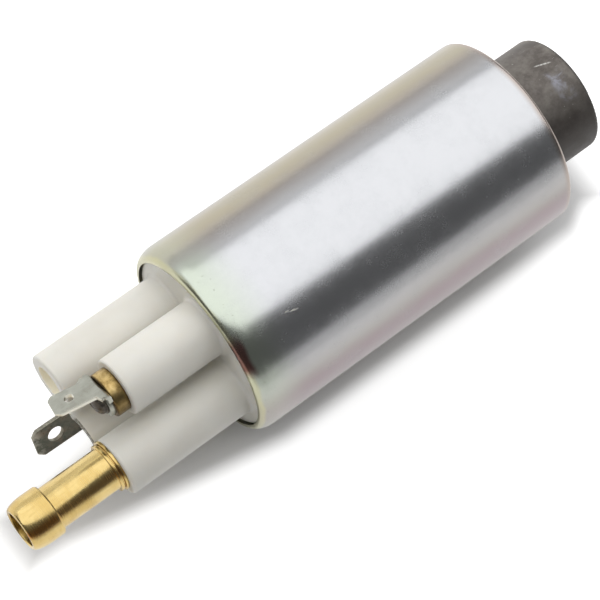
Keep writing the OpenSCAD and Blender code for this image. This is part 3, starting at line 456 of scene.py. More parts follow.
def turned_brass():
    """Brass from the lathe: fine rings round the axis, a little drawn, duller in soft patches, with a
    painted dark reflection on a band round the bulb, painted shade along its +Y side and painted shade in
    its bore.
    """
    f = Finish("turned_brass", roughness=0.24, metallic=1.0)
    rings = f.noise(1.0, rough=0.6, stretch=(7000.0, 40.0, 40.0))
    clouds = f.noise(260.0, rough=0.55)
    streaks = f.noise(1.0, detail=2.0, stretch=(260.0, 2200.0, 2200.0))
    tone = f.mix(f.ranged(clouds, 0.35, 0.72), srgb(216, 192, 131), srgb(202, 174, 109))
    tone = f.stain(tone, streaks, 0.50, 0.75, 0.22, (186, 152, 86))
    turn = f.turn_about(BARB_AXIS)
    # Painted reflection: a reddish-brown band round the axis, strongest on the bulb, where a dark
    # reflection lies
    painted_reflection_band = f.times(f.ranged(turn, 0.545, 0.590), f.fade(turn, 0.600, 0.645))
    bulb = f.ranged(f.axes()[0], BARB_LOW.x + 0.0052, BARB_LOW.x + 0.0060, 0.85, 0.45)
    tone = f.mix(f.times(painted_reflection_band, bulb), tone, srgb(176, 116, 52))
    # Painted shade: darker along the +Y side
    tone = f.mix(f.fade(turn, 0.290, 0.345, 0.55), tone, srgb(140, 112, 58))
    # Painted shade inside the bore
    inner = f.fade(f.away_from(BARB_AXIS), 0.00335, 0.00345)
    f.color(f.mix(f.times(inner, 0.8), tone, srgb(112, 96, 34)))
    f.roughness(f.plus(f.ranged(clouds, 0.3, 0.75, 0.20, 0.30), f.ranged(rings, 0.3, 0.7, -0.03, 0.03)))
    f.bump(rings, 0.0000035)
    return f


def worn_brass():
    """Brass of the bush: dull, with brown stains, painted shade on its lower side and painted shade at its
    rims, under the terminal's foot and where it enters the tower.
    """
    f = Finish("worn_brass", roughness=0.36, metallic=1.0)
    clouds = f.noise(700.0, detail=5.0, rough=0.68)
    pits = f.noise(2400.0)
    tone = f.ramp(clouds, [(0.30, 206, 182, 128), (0.50, 182, 156, 102), (0.70, 134, 112, 68)])
    tone = f.stain(tone, pits, 0.60, 0.74, 0.45, (108, 84, 50))
    x, y = f.axes()[:2]
    # Painted shade: darker towards -Y, the side away from the key light
    low = f.fade(y, PLUS_AXIS[0] - 0.0040, PLUS_AXIS[0] + 0.0006, 0.72)
    tone = f.mix(low, tone, srgb(92, 76, 46))
    # Painted shade on the top face under the terminal's foot and where the bush enters its tower
    rim = f.math("MINIMUM", f.minus(x, BUSH_LOW.x), f.minus(BUSH_HIGH.x - BUSH_SHANK, x))
    f.color(f.mix(f.fade(rim, 0.00005, 0.00035, 0.75), tone, srgb(84, 62, 38)))
    f.roughness(f.ranged(clouds, 0.3, 0.7, 0.28, 0.5))
    f.bump(f.plus(clouds, f.times(pits, 0.5)), 0.00003)
    return f


def tinned_strip():
    """Tin plate on pressed strip: soft grey shine, fine draw marks, a few stains and bare sheared edges,
    which are painted near-white as a highlight that fades towards the root.
    """
    f = Finish("tinned_strip", roughness=0.34, metallic=1.0)
    clouds = f.noise(420.0, detail=5.0, rough=0.6)
    stains = f.noise(900.0, detail=4.0, rough=0.65)
    marks = f.noise(1.0, detail=2.0, stretch=(600.0, 7000.0, 7000.0))
    tone = f.mix(f.ranged(clouds, 0.35, 0.75), srgb(174, 175, 165), srgb(156, 156, 145))
    tone = f.stain(tone, marks, 0.52, 0.70, 0.20, (122, 122, 112))
    tone = f.stain(tone, stains, 0.60, 0.78, 0.35, (120, 116, 102))
    # Bare sheared edges, painted near-white as a highlight, less near the root
    root = f.ranged(f.axes()[0], BUSH_LOW.x - 0.0024, BUSH_LOW.x - 0.0012, 0.85, 0.15)
    f.color(f.mix(f.times(f.attribute("bare"), root), tone, srgb(238, 235, 222)))
    f.roughness(f.ranged(clouds, 0.3, 0.75, 0.32, 0.44))
    f.bump(f.plus(marks, f.times(clouds, 0.6)), 0.000005)
    return f


def dark_strip():
    """Tarnished strip, dull green-grey with brown patches, worn at its tip and its sheared edges."""
    f = Finish("dark_strip", roughness=0.42, metallic=0.9)
    clouds = f.noise(520.0, detail=5.0, rough=0.7)
    spots = f.noise(2100.0)
    tone = f.ramp(clouds, [(0.30, 74, 78, 68), (0.50, 98, 97, 86), (0.70, 126, 114, 98)])
    tone = f.stain(tone, spots, 0.56, 0.72, 0.5, (54, 52, 46))
    tip = f.fade(f.minus(f.axes()[0], MINUS_TIP), 0.0, 0.0024)
    tone = f.mix(f.times(tip, f.ranged(clouds, 0.42, 0.62)), tone, srgb(176, 172, 160))
    worn = f.times(f.attribute("bare"), f.ranged(spots, 0.45, 0.60, 0.25, 0.75))
    f.color(f.mix(worn, tone, srgb(170, 166, 152)))
    f.roughness(f.ranged(clouds, 0.3, 0.7, 0.34, 0.56))
    f.bump(spots, 0.00001)
    return f


def browned_rivet():
    """Rivet head with a grey-brown skin and hammered marks."""
    f = Finish("browned_rivet", roughness=0.42, metallic=0.85)
    clouds = f.noise(900.0, detail=4.0, rough=0.6)
    f.color(f.ramp(clouds, [(0.30, 60, 55, 49), (0.50, 94, 88, 80), (0.72, 150, 143, 132)]))
    f.roughness(f.ranged(clouds, 0.3, 0.7, 0.34, 0.55))
    f.bump(clouds, 0.00005)
    return f


def dark_casting():
    """Dark grey die casting with dusty patches, scuffs, a nick and a fine grain, with painted shade on its
    -Y side and a painted dark line of shade along its end edge.
    """
    f = Finish("dark_casting", roughness=0.52, metallic=0.35)
    clouds = f.noise(210.0, detail=6.0, rough=0.68)
    grain = f.noise(2800.0)
    dust = f.noise(330.0, detail=6.0, rough=0.7, distortion=0.6)
    scuffs = f.noise(1.0, rough=0.6, stretch=(330.0, 2600.0, 2600.0))
    dots = f.noise(1500.0, detail=1.0)
    x, y = f.axes()[:2]
    base = f.ramp(
        clouds, [(0.30, 74, 68, 63), (0.44, 98, 92, 87), (0.56, 120, 115, 109), (0.70, 142, 137, 130)])
    patch = f.times(f.near(y, -0.0018, 0.0018, 0.0042), f.near(x, 0.0452, 0.0008, 0.0022))
    tone = f.mix(f.times(patch, f.ranged(dust, 0.42, 0.66, 0.0, 0.75)), base, srgb(160, 162, 174))
    tone = f.stain(tone, dust, 0.60, 0.78, 0.4, (150, 148, 148))
    tone = f.stain(tone, scuffs, 0.68, 0.76, 0.55, (192, 190, 186))
    tone = f.stain(tone, dots, 0.76, 0.80, 0.8, (208, 206, 200))
    slant = f.minus(f.turn_about(), f.times(f.minus(x, NICK_X), NICK_LEAN))
    nick = f.times(f.near(slant, NICK_TURN, 0.0012, 0.0030), f.near(x, NICK_X, 0.0008, 0.0018))
    tone = f.mix(f.times(nick, f.ranged(grain, 0.35, 0.55, 0.2, 0.9)), tone, srgb(206, 205, 200))
    # Painted shade: darker towards -Y
    tone = f.mix(f.fade(y, -0.0095, 0.0015, 0.80), tone, srgb(52, 47, 44))
    # Painted shade: a dark line along the end edge, where the rounded edge turns away from the light
    f.color(f.mix(f.fade(f.minus(NECK_END, x), 0.0002, 0.0009, 0.85), tone, srgb(46, 42, 39)))
    f.roughness(f.ranged(clouds, 0.3, 0.7, 0.44, 0.62))
    f.bump(f.plus(grain, f.times(clouds, 2.0)), 0.00002)
    return f


def plain_metal(name, light, dark, rough, metallic=1.0):
    """Ground or sintered metal of the inner pieces, with tints as 0 to 255 values."""
    f = Finish(name, roughness=rough, metallic=metallic)
    clouds = f.noise(500.0, detail=4.0, rough=0.6)
    f.color(f.mix(f.ranged(clouds, 0.35, 0.7), srgb(*light), srgb(*dark)))
    f.roughness(f.ranged(clouds, 0.3, 0.7, rough - 0.06, rough + 0.1))
    f.bump(clouds, 0.000008)
    return f


def plain_moulding(name, light, dark, rough):
    """Moulded or pressed material of the inner pieces."""
    f = Finish(name, roughness=rough)
    clouds = f.noise(380.0, detail=4.0, rough=0.6)
    f.color(f.mix(f.ranged(clouds, 0.35, 0.7), light, dark))
    f.roughness(f.ranged(clouds, 0.3, 0.7, rough - 0.08, rough + 0.08))
    f.bump(f.noise(2400.0, detail=2.0), 0.000006)
    return f


# Sizes and colours that a user would change


class FUELPUMP_PG_stage(bpy.types.PropertyGroup):
    """Camera, floor and lamps"""

    camera_place: bpy.props.FloatVectorProperty(
        name="Camera", description="Where the camera stands", size=3, subtype="TRANSLATION", unit="LENGTH",
        default=(-0.13768, -0.07902, 0.3819))
    camera_aim: bpy.props.FloatVectorProperty(
        name="Aim", description="What the camera looks at", size=3, subtype="TRANSLATION", unit="LENGTH",
        default=(-0.01568, -0.00405, 0.0))
    camera_right: bpy.props.FloatVectorProperty(
        name="Right", description="Direction that runs to the right of the picture", size=3,
        subtype="DIRECTION", default=(0.7794, -0.6132, 0.1286))
    lens: bpy.props.FloatProperty(
        name="Lens", description="Focal length on a 36 mm sensor, in millimetres", default=137.6)
    key_strength: bpy.props.FloatProperty(
        name="Key light", description="Brightness of the overhead soft box", default=1.40)
    key_turn: bpy.props.FloatProperty(
        name="Key turn", description="Turn of the soft box seen from above", default=math.radians(-20.0),
        subtype="ANGLE")
    side_strength: bpy.props.FloatProperty(
        name="Side light", description="Brightness of the card beside the pump", default=0.8)
    far_strength: bpy.props.FloatProperty(
        name="Far card", description="Brightness of the low card on the shadow side", default=0.6)
    room_strength: bpy.props.FloatProperty(
        name="Room", description="Brightness of the room all round", default=0.11)
    floor_lift: bpy.props.FloatProperty(
        name="Floor lift", description="Glow that turns the pale floor white", default=0.62)
    floor_mirrored: bpy.props.FloatProperty(
        name="Floor mirrored", description="Share of that glow in reflections", default=0.68)


class FUELPUMP_OT_stage(bpy.types.Operator):
    """Add the floor, the lamps and the camera"""

    bl_idname = "fuel_pump.stage"
    bl_label = "Stage"

    # Half the width of the floor
    FLOOR_REACH = 3.0
    # The floor's glow is held back near the pump, which paints its shadow darker and tighter: the near edge
    # of this painted shadow runs from the first X and Y to the second, turns in beside the inlet end and is
    # blurred over a width
    EDGE_X = (-0.072, -0.028)
    EDGE_Y = (-0.0095, -0.0175)
    TURN_X = (0.041, 0.048)
    TURN_IN = 0.0027
    BLUR = 0.0046
    # Ranges over which the glow returns beyond the far side, the inlet end and the outlet end
    FAR_Y = (-0.004, 0.002)
    INLET_X = (0.047, 0.055)
    OUTLET_X = (-0.084, -0.076)
    # The soft box: its height, the angles from the pump up to its two edges, its length and its place on X
    KEY_HEIGHT = 0.62
    KEY_LEFT = math.radians(61.0)
    KEY_RIGHT = math.radians(27.0)
    KEY_LENGTH = 2.2
    KEY_X = 0.2
    # Size and place of the cards beside the pump and on its shadow side
    SIDE_CARD = ((2.0, 0.5), (0.0, 1.0, 0.25))
    FAR_CARD = ((2.0, 0.2), (0.0, -1.1, 0.1))

    def execute(self, context):
        props = context.scene.fuel_pump_stage
        self.add_floor(props)
        self.add_lamps(props)
        self.add_world(props)
        self.add_camera(context, props)
        context.scene.view_settings.view_transform = "Standard"
        return {"FINISHED"}

    def add_floor(self, props):
        bm = bmesh.new()
        bmesh.ops.create_grid(bm, x_segments=1, y_segments=1, size=self.FLOOR_REACH)
        bmesh.ops.translate(bm, verts=bm.verts, vec=(0.0, 0.0, -SHELL_R))
        mesh = bpy.data.meshes.new("floor")
        bm.to_mesh(mesh)
        bm.free()
        floor = bpy.data.objects.new("floor", mesh)
        bpy.context.scene.collection.objects.link(floor)
        f = Finish("pale_floor", roughness=0.9, color=(0.86, 0.86, 0.86))
        f.set("Specular IOR Level", 0.0)
        path = f.nodes.new("ShaderNodeLightPath").outputs
        mirrored = f.times(path["Is Glossy Ray"], props.floor_mirrored)
        seen = f.larger(path["Is Camera Ray"], mirrored, path["Is Transmission Ray"])
        x, y = f.axes()[:2]
        # Painted shadow: no glow near the pump, so the floor there shows darker
        edge = f.ranged(x, *self.EDGE_X, *self.EDGE_Y, smooth=False)
        edge = f.plus(edge, f.ranged(x, *self.TURN_X, 0.0, self.TURN_IN))
        beside = f.ranged(f.minus(edge, y), 0.0, self.BLUR)
        lift = f.larger(
            beside, f.ranged(y, *self.FAR_Y), f.ranged(x, *self.INLET_X), f.fade(x, *self.OUTLET_X))
        glow = f.add("ShaderNodeEmission", Strength=f.times(seen, f.times(lift, props.floor_lift)))
        both = f.nodes.new("ShaderNodeAddShader")
        f.links.new(f.shader.outputs["BSDF"], both.inputs[0])
        f.links.new(glow.outputs["Emission"], both.inputs[1])
        f.links.new(both.outputs["Shader"], f.output.inputs["Surface"])
        dress(floor, f)

    def add_box_light(self, name, strength, size, place):
        """A rectangular lamp that shines at the origin; strength is its brightness as seen."""
        data = bpy.data.lights.new(name, "AREA")
        data.shape = "RECTANGLE"
        data.size, data.size_y = size
        data.energy = strength * size[0] * size[1] * math.pi
        lamp = bpy.data.objects.new(name, data)
        lamp.location = place
        lamp.rotation_euler = (-Vector(place)).to_track_quat("-Z", "Y").to_euler()
        lamp.visible_camera = False
        bpy.context.scene.collection.objects.link(lamp)
        return lamp

    def add_lamps(self, props):
        left, right = math.tan(self.KEY_LEFT) * self.KEY_HEIGHT, -math.tan(self.KEY_RIGHT) * self.KEY_HEIGHT
        lamp = self.add_box_light(
            "key_box", props.key_strength, (self.KEY_LENGTH, (left - right) * math.cos(props.key_turn)),
            (self.KEY_X, (left + right) / 2, self.KEY_HEIGHT))
        lamp.rotation_euler = (0.0, 0.0, props.key_turn)
        self.add_box_light("side_card", props.side_strength, *self.SIDE_CARD)
        self.add_box_light("far_card", props.far_strength, *self.FAR_CARD)

    def add_world(self, props):
        world = bpy.data.worlds.new("room")
        world.use_nodes = True
        back = world.node_tree.nodes["Background"]
        back.inputs["Color"].default_value = (1.0, 1.0, 1.0, 1.0)
        back.inputs["Strength"].default_value = props.room_strength
        bpy.context.scene.world = world

    def add_camera(self, context, props):
        data = bpy.data.cameras.new("camera")
        data.sensor_width = 36.0
        data.lens = props.lens
        data.clip_start, data.clip_end = 0.01, 20.0
        camera = bpy.data.objects.new("camera", data)
        place, aim = Vector(props.camera_place), Vector(props.camera_aim)
        back = (place - aim).normalized()
        right = Vector(props.camera_right)
        right = (right - back * right.dot(back)).normalized()
        up = back.cross(right)
        turn = Matrix((right, up, back)).transposed().to_4x4()
        camera.matrix_world = Matrix.Translation(place) @ turn
        context.scene.collection.objects.link(camera)
        context.scene.camera = camera


# Shell


class FUELPUMP_PG_shell(bpy.types.PropertyGroup):
    """The rolled steel shell"""

    mouth_drop: bpy.props.FloatProperty(
        name="Mouth drop", description="How far the outlet end turns inward",
        default=1.55 * MM, unit="LENGTH")
    mouth_turn: bpy.props.FloatProperty(
        name="Mouth turn", description="Length over which it turns inward", default=3.2 * MM, unit="LENGTH")
    lip_reach: bpy.props.FloatProperty(
        name="Inlet lip", description="How far the inlet end is rolled inward",
        default=2.8 * MM, unit="LENGTH")
    lip_thickness: bpy.props.FloatProperty(
        name="Inlet lip thickness", description="Thickness of the rolled flat",
        default=0.8 * MM, unit="LENGTH")
    lip_round: bpy.props.FloatProperty(
        name="Inlet rounding", description="Outside rounding of the inlet end",
        default=0.8 * MM, unit="LENGTH")
    wall: bpy.props.FloatProperty(
        name="Wall", description="Wall of the shell between its seats", default=1.6 * MM, unit="LENGTH")
    end_wall: bpy.props.FloatProperty(
        name="End wall", description="Wall of the thinned ends", default=0.6 * MM, unit="LENGTH")


class FUELPUMP_OT_shell(bpy.types.Operator):
    """Add the shell with both rolled ends"""

    bl_idname = "fuel_pump.shell"
    bl_label = "Shell"

    # Thickness of the mouth's edge, chamfer of the inlet lip and depth of the two thinned seats
    MOUTH_EDGE = 0.35 * MM
    CHAMFER = 0.2 * MM
    SEAT = 5.0 * MM
    # Rows along the straight length
    ROWS = 12

    def execute(self, context):
        p = context.scene.fuel_pump_shell
        front, rear, r = SHELL_FRONT, SHELL_REAR, SHELL_R
        seat_r = r - p.end_wall
        edge_r = r - p.mouth_drop
        inner_r = edge_r - self.MOUTH_EDGE
        lip_r = r - p.lip_reach
        lip_x = rear - p.lip_thickness
        turn = [(front + p.mouth_turn * (1 - math.cos(a)), math.sin(a)) for a in angles(0, 91, 6)]
        outside = [(x, edge_r + p.mouth_drop * s) for x, s in turn]
        inside = [(x, inner_r + (seat_r - inner_r) * s) for x, s in reversed(turn)]
        roll = [(rear - p.lip_round * (1 - math.sin(a)), r - p.lip_round * (1 - math.cos(a)))
                for a in angles(0, 91, 10)]
        start, length = front + p.mouth_turn, rear - p.lip_round - front - p.mouth_turn
        straight = [(start + length * i / self.ROWS, r) for i in range(1, self.ROWS)]
        bm = bmesh.new()
        turned(bm, outside + straight + roll + [
            (rear, lip_r + self.CHAMFER), (rear - self.CHAMFER, lip_r), (lip_x, lip_r), (lip_x, seat_r),
            (lip_x - self.SEAT, seat_r), (lip_x - self.SEAT, r - p.wall),
            (front + self.SEAT, r - p.wall), (front + self.SEAT, seat_r)] + inside, steps=256)
        shell = finish_piece("plated_shell", bm, sharp=math.radians(30))
        dress(shell, plated_steel())
        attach(shell, HOUSING)
        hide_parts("shell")
        return {"FINISHED"}


# Hose barb


class FUELPUMP_PG_barb(bpy.types.PropertyGroup):
    """The brass hose barb"""

    tube: bpy.props.FloatProperty(
        name="Tube radius", description="Outside radius of the tube", default=4.06 * MM, unit="LENGTH")
    bore: bpy.props.FloatProperty(
        name="Bore radius", description="Radius of the bore", default=3.4 * MM, unit="LENGTH")
    bulb_length: bpy.props.FloatProperty(
        name="Bulb length", description="Length of the bulb with its nose", default=6.2 * MM, unit="LENGTH")
    reach: bpy.props.FloatProperty(
        name="Reach", description="How far the barb stands out of its tower",
        default=19.5 * MM, unit="LENGTH")
    flange: bpy.props.FloatProperty(
        name="Flange radius", description="Radius of the flange", default=4.925 * MM, unit="LENGTH")
    flange_t: bpy.props.FloatProperty(
        name="Flange thickness", description="Thickness of the flange", default=1.35 * MM, unit="LENGTH")
    bulb: bpy.props.FloatProperty(
        name="Bulb radius", description="Largest radius of the bulb", default=4.825 * MM, unit="LENGTH")


class FUELPUMP_OT_barb(bpy.types.Operator):
    """Add the turned hose barb"""

    bl_idname = "fuel_pump.barb"
    bl_label = "Hose barb"

    # Wall at the tip, length of the bulb behind its nose and the bulb's chamfers
    TIP_WALL = 0.45 * MM
    BULB_BODY = 2.6 * MM
    BULB_CHAMFER = (0.3 * MM, 0.2 * MM)
    TIP_CHAMFER = (0.2 * MM, 0.15 * MM)
    # How much smaller than the flange its groove and its upper step are, and where the groove lies
    GROOVE_IN = 0.7 * MM
    STEP_IN = 0.3 * MM
    GROOVE_FROM, GROOVE_TO = 0.40, 0.60

    def execute(self, context):
        p = context.scene.fuel_pump_barb
        tip, end = BARB_LOW.x, BARB_HIGH.x
        tower = tip + p.reach
        bulb_x = tip + p.bulb_length
        tip_r = p.bore + self.TIP_WALL
        nose_len = p.bulb_length - self.BULB_BODY
        nose = [(tip + nose_len * (1 - math.sin(a)), tip_r + (p.bulb - tip_r) * math.cos(a))
                for a in angles(2, 91, 4)]
        groove = tower - self.GROOVE_FROM * p.flange_t, tower - self.GROOVE_TO * p.flange_t
        groove_r, step_r = p.flange - self.GROOVE_IN, p.flange - self.STEP_IN
        flange = [
            (tower, p.flange), (groove[0], p.flange), (groove[0], groove_r), (groove[1], groove_r),
            (groove[1], step_r), (tower - p.flange_t, step_r)]
        outline = [(end, p.bore), (end, p.tube), (tower, p.tube)] + flange + [
            (tower - p.flange_t, p.tube), (bulb_x, p.tube), (bulb_x, p.bulb - self.BULB_CHAMFER[1]),
            (bulb_x - self.BULB_CHAMFER[0], p.bulb)] + nose + [
            (tip, p.bore + self.TIP_CHAMFER[1]), (tip + self.TIP_CHAMFER[0], p.bore)]
        bm = bmesh.new()
        turned(bm, outline, BARB_AXIS, steps=160, soft=0.06 * MM, segments=2)
        barb = finish_piece("hose_barb", bm)
        dress(barb, turned_brass())
        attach(barb, HOUSING)
        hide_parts("outlet_barb")
        return {"FINISHED"}


# Terminals


class FUELPUMP_PG_terminals(bpy.types.PropertyGroup):
    """The bush, the rivets and the two blade terminals"""

    strip: bpy.props.FloatProperty(
        name="Strip", description="Thickness of the terminal strip", default=0.8 * MM, unit="LENGTH")
    bend: bpy.props.FloatProperty(
        name="Bend", description="Inside radius of a terminal's bend", default=0.15 * MM, unit="LENGTH")
    foot: bpy.props.FloatProperty(
        name="Foot radius", description="Radius of a terminal's round foot",
        default=3.5 * MM, unit="LENGTH")
    edge: bpy.props.FloatProperty(
        name="Edge", description="Rounding of the strip's edges", default=0.07 * MM, unit="LENGTH")
    plus_turn: bpy.props.FloatProperty(
        name="Positive turn", description="Turn of the positive blade's face", default=math.radians(32.0),
        subtype="ANGLE")
    minus_turn: bpy.props.FloatProperty(
        name="Negative turn", description="Turn of the negative blade's face", default=math.radians(118.7),
        subtype="ANGLE")
    rivet_head: bpy.props.FloatProperty(
        name="Rivet head", description="Radius of the rivet heads", default=2.45 * MM, unit="LENGTH")
    rivet_height: bpy.props.FloatProperty(
        name="Rivet height", description="Height of the rivet heads", default=1.9 * MM, unit="LENGTH")


class FUELPUMP_OT_bush(bpy.types.Operator):
    """Add the brass bush on the positive tower"""

    bl_idname = "fuel_pump.bush"
    bl_label = "Positive bush"

    SHANK_R = 2.9 * MM
    SHANK_CHAMFER = 0.3 * MM
    HEAD_CHAMFER = 0.25 * MM
    HOLE_R = 1.25 * MM
    HOLE_DEPTH = 4.0 * MM

    def execute(self, context):
        top, end = BUSH_LOW.x, BUSH_HIGH.x
        head_r = BUSH_HIGH.y - PLUS_AXIS[0]
        tower = end - BUSH_SHANK
        floor = top + self.HOLE_DEPTH
        bm = bmesh.new()
        turned(bm, [
            (end, 0.0), (end, self.SHANK_R - self.SHANK_CHAMFER), (end - self.SHANK_CHAMFER, self.SHANK_R),
            (tower, self.SHANK_R), (tower, head_r), (top + self.HEAD_CHAMFER, head_r),
            (top, head_r - self.HEAD_CHAMFER), (top, self.HOLE_R), (floor, self.HOLE_R), (floor, 0.0)],
            PLUS_AXIS, steps=128, closed=False, soft=0.09 * MM, segments=2)
        bush = finish_piece("terminal_bush", bm)
        dress(bush, worn_brass())
        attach(bush, HOUSING)
        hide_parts("positive_bush")
        return {"FINISHED"}


class FUELPUMP_OT_rivets(bpy.types.Operator):
    """Add the two hammered rivets"""

    bl_idname = "fuel_pump.rivets"
    bl_label = "Rivets"

    SHANK_R = 1.2 * MM
    # Thickness of the step under the head, and the share of the head's height that is straight
    STEP_T = 0.35 * MM
    STRAIGHT = 0.35
    # Deepest dent of the hammer, the radius where dents end and how far a dent also pulls inward
    DENT = 0.16 * MM
    DENT_REACH = 3.0 * MM
    DENT_PULL = 0.4

    def execute(self, context):
        p = context.scene.fuel_pump_terminals
        brown = browned_rivet()
        for name, low, high, axis in (
                ("positive_rivet", RIVET_LOW, RIVET_HIGH, PLUS_AXIS),
                ("negative_rivet", DARK_RIVET_LOW, DARK_RIVET_HIGH, MINUS_AXIS)):
            top, end = low.x, high.x
            base = top + p.rivet_height
            side = base - p.rivet_height * self.STRAIGHT
            step_r, step_x = p.rivet_head + RIVET_STEP, base - self.STEP_T
            dome_h = p.rivet_height * (1.0 - self.STRAIGHT)
            dome = [(side - dome_h * math.sin(a), p.rivet_head * math.cos(a)) for a in angles(0, 91, 6)]
            dome[-1] = (top, 0.0)
            bm = bmesh.new()
            turned(bm, [
                (end, 0.0), (end, self.SHANK_R), (base, self.SHANK_R), (base, step_r), (step_x, step_r),
                (step_x, p.rivet_head)] + dome, axis, steps=96, closed=False, soft=0.05 * MM, segments=2)
            self.hammer(bm, side, axis)
            rivet = finish_piece("browned_" + name, bm)
            dress(rivet, brown)
            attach(rivet, HOUSING)
            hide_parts(name)
        return {"FINISHED"}

    def hammer(self, bm, side, axis):
        """Dents the dome inward a little, as a peened head is."""
        for vert in bm.verts:
            if vert.co.x > side:
                continue
            y, z = vert.co.y - axis[0], vert.co.z - axis[1]
            a, r = math.atan2(y, z), math.hypot(y, z)
            dent = 0.5 + 0.5 * math.sin(5 * a + 1.3) * math.cos(2600.0 * r + 2 * math.sin(3 * a))
            depth = self.DENT * dent * min(1.0, (side - vert.co.x) / (0.5 * MM))
            vert.co.x += depth * (1.0 - r / self.DENT_REACH)
            vert.co.y -= self.DENT_PULL * depth * math.sin(a)
            vert.co.z -= self.DENT_PULL * depth * math.cos(a)


class FUELPUMP_OT_blades(bpy.types.Operator):
    """Add the two blade terminals, bent from flat blanks"""

    bl_idname = "fuel_pump.blades"
    bl_label = "Blade terminals"

    # The root that rises from the foot, the shoulder above it, and how far the blade runs into the root
    ROOT_H = 1.7 * MM
    ROOT_DEPTH = 1.2 * MM
    SHOULDER_H = 1.2 * MM
    OVERLAP = 1.0 * MM
    NOTCH_R = 0.3 * MM
    # Clearance round the rivet
    FIT = 0.05 * MM
    # Length over which the tip thins, the share of the strip it loses, and steps of a foot and a bend
    TIP_TAPER = 0.8 * MM
    TIP_THINNING = 0.55
    FOOT_STEPS = 36
    BEND_STEPS = 10

    def execute(self, context):
        p = context.scene.fuel_pump_terminals
        rivet_room = p.rivet_head + RIVET_STEP + p.bend + self.FIT
        self.add_blade(
            p, "tinned_blade", "positive_terminal", "tin_plate", tinned_strip(), BUSH_LOW.x, PLUS_AXIS,
            p.plus_turn, fold=rivet_room, shift=-0.1 * MM, root_w=7.2 * MM, root_shift=-0.3 * MM,
            width=4.8 * MM, length=9.0 * MM, lean=math.radians(10.5), clip=0.9 * MM, hole_r=0.88 * MM,
            hole_from_tip=3.4 * MM)
        self.add_blade(
            p, "tarnished_blade", "negative_terminal", "dark_plate", dark_strip(), MINUS_FOOT, MINUS_AXIS,
            p.minus_turn, fold=3.4 * MM, shift=-1.1 * MM, root_w=6.4 * MM, root_shift=-1.1 * MM,
            width=6.4 * MM, length=13.7 * MM, lean=math.radians(-0.8), clip=1.2 * MM, hole_r=1.55 * MM,
            hole_from_tip=4.3 * MM)
        return {"FINISHED"}

    def add_blade(self, p, name, node, slot, finish, x, axis, turn, fold, shift, root_w, root_shift,
                  width, length, lean, clip, hole_r, hole_from_tip):
        """One terminal: its blank in the unrolled plane, softened, then bent and put on its tower."""
        bend_x = fold - p.bend
        out_r = p.strip + p.bend
        arc = (p.bend + p.strip / 2) * math.pi / 2
        rise = bend_x + arc - out_r
        base = self.ROOT_H - self.OVERLAP
        blade_len = length - base
        c, s = math.cos(lean), math.sin(lean)

        def on_blade(u, v):
            return (shift + u * c + v * s, base - u * s + v * c + rise)

        left, right = root_shift - root_w / 2, root_shift + root_w / 2
        root = self.ROOT_H + rise
        w = width / 2
        tip = [on_blade(w, blade_len - clip), on_blade(w - clip * 0.8, blade_len),
               on_blade(-w + clip * 0.8, blade_len), on_blade(-w, blade_len - clip)]
        start = fold - self.ROOT_DEPTH
        reach = math.asin(start / p.foot)
        sweep = math.pi + 2.0 * reach
        swept = [reach - sweep * i / self.FOOT_STEPS for i in range(self.FOOT_STEPS + 1)]
        foot = [(p.foot * math.cos(a), p.foot * math.sin(a)) for a in swept]

        def notch(side_u, sign):
            mid = root - self.NOTCH_R
            return [(side_u - sign * self.NOTCH_R * math.cos(a), mid + self.NOTCH_R * math.sin(a))
                    for a in angles(-90, 91, 30)]

        shoulder = self.SHOULDER_H
        outline = [(right, start), *notch(right, 1)]
        outline += [(shift + w * c + (shoulder + self.OVERLAP) * s * 0.5, root + shoulder), *tip]
        outline += [(shift - w, root + shoulder * 0.3), *reversed(notch(left, -1)), (left, start)]
        outline += reversed(foot)
        hole_u, hole_v = on_blade(0.0, blade_len - hole_from_tip)
        bm = bmesh.new()
        flat_blank(bm, outline, (hole_u, hole_v, hole_r), p.strip)
        soften(bm, p.edge)
        self.mark_bare(bm)
        tip_v = on_blade(0.0, blade_len)[1]
        bend_rows = [bend_x + arc * i / self.BEND_STEPS for i in range(self.BEND_STEPS + 1)]
        cut_rows(bm, bend_rows + [tip_v - self.TIP_TAPER, tip_v - self.TIP_TAPER / 2])
        for vert in bm.verts:
            vert.co = on_tower(self.bent(vert.co, p, bend_x, arc, out_r, tip_v), x, axis, turn)
        blade = finish_piece(name, bm, sharp=math.radians(40))
        dress(blade, finish)
        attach(blade, HOUSING)
        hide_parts(node)

    def mark_bare(self, bm):
        """Marks the sheared edges, which have no plating."""
        bm.normal_update()
        bare = bm.faces.layers.float.new("bare")
        for face in bm.faces:
            face[bare] = 1.0 if abs(face.normal.z) < 0.97 else 0.0

    def bent(self, co, p, bend_x, arc, out_r, tip_v):
        """Maps a point of the flat blank (across, along, thickness) to the terminal's own frame."""
        u, v, w = co
        to_tip = max(0.0, 1.0 - max(0.0, tip_v - v) / self.TIP_TAPER)
        w = p.strip / 2 + (w - p.strip / 2) * (1.0 - self.TIP_THINNING * to_tip)
        if v <= bend_x:
            return (v, u, w)
        if v <= bend_x + arc:
            a = (v - bend_x) / arc * math.pi / 2
            return (bend_x + (out_r - w) * math.sin(a), u, out_r - (out_r - w) * math.cos(a))
        return (bend_x + out_r - w, u, out_r + v - bend_x - arc)


# Springs and leads


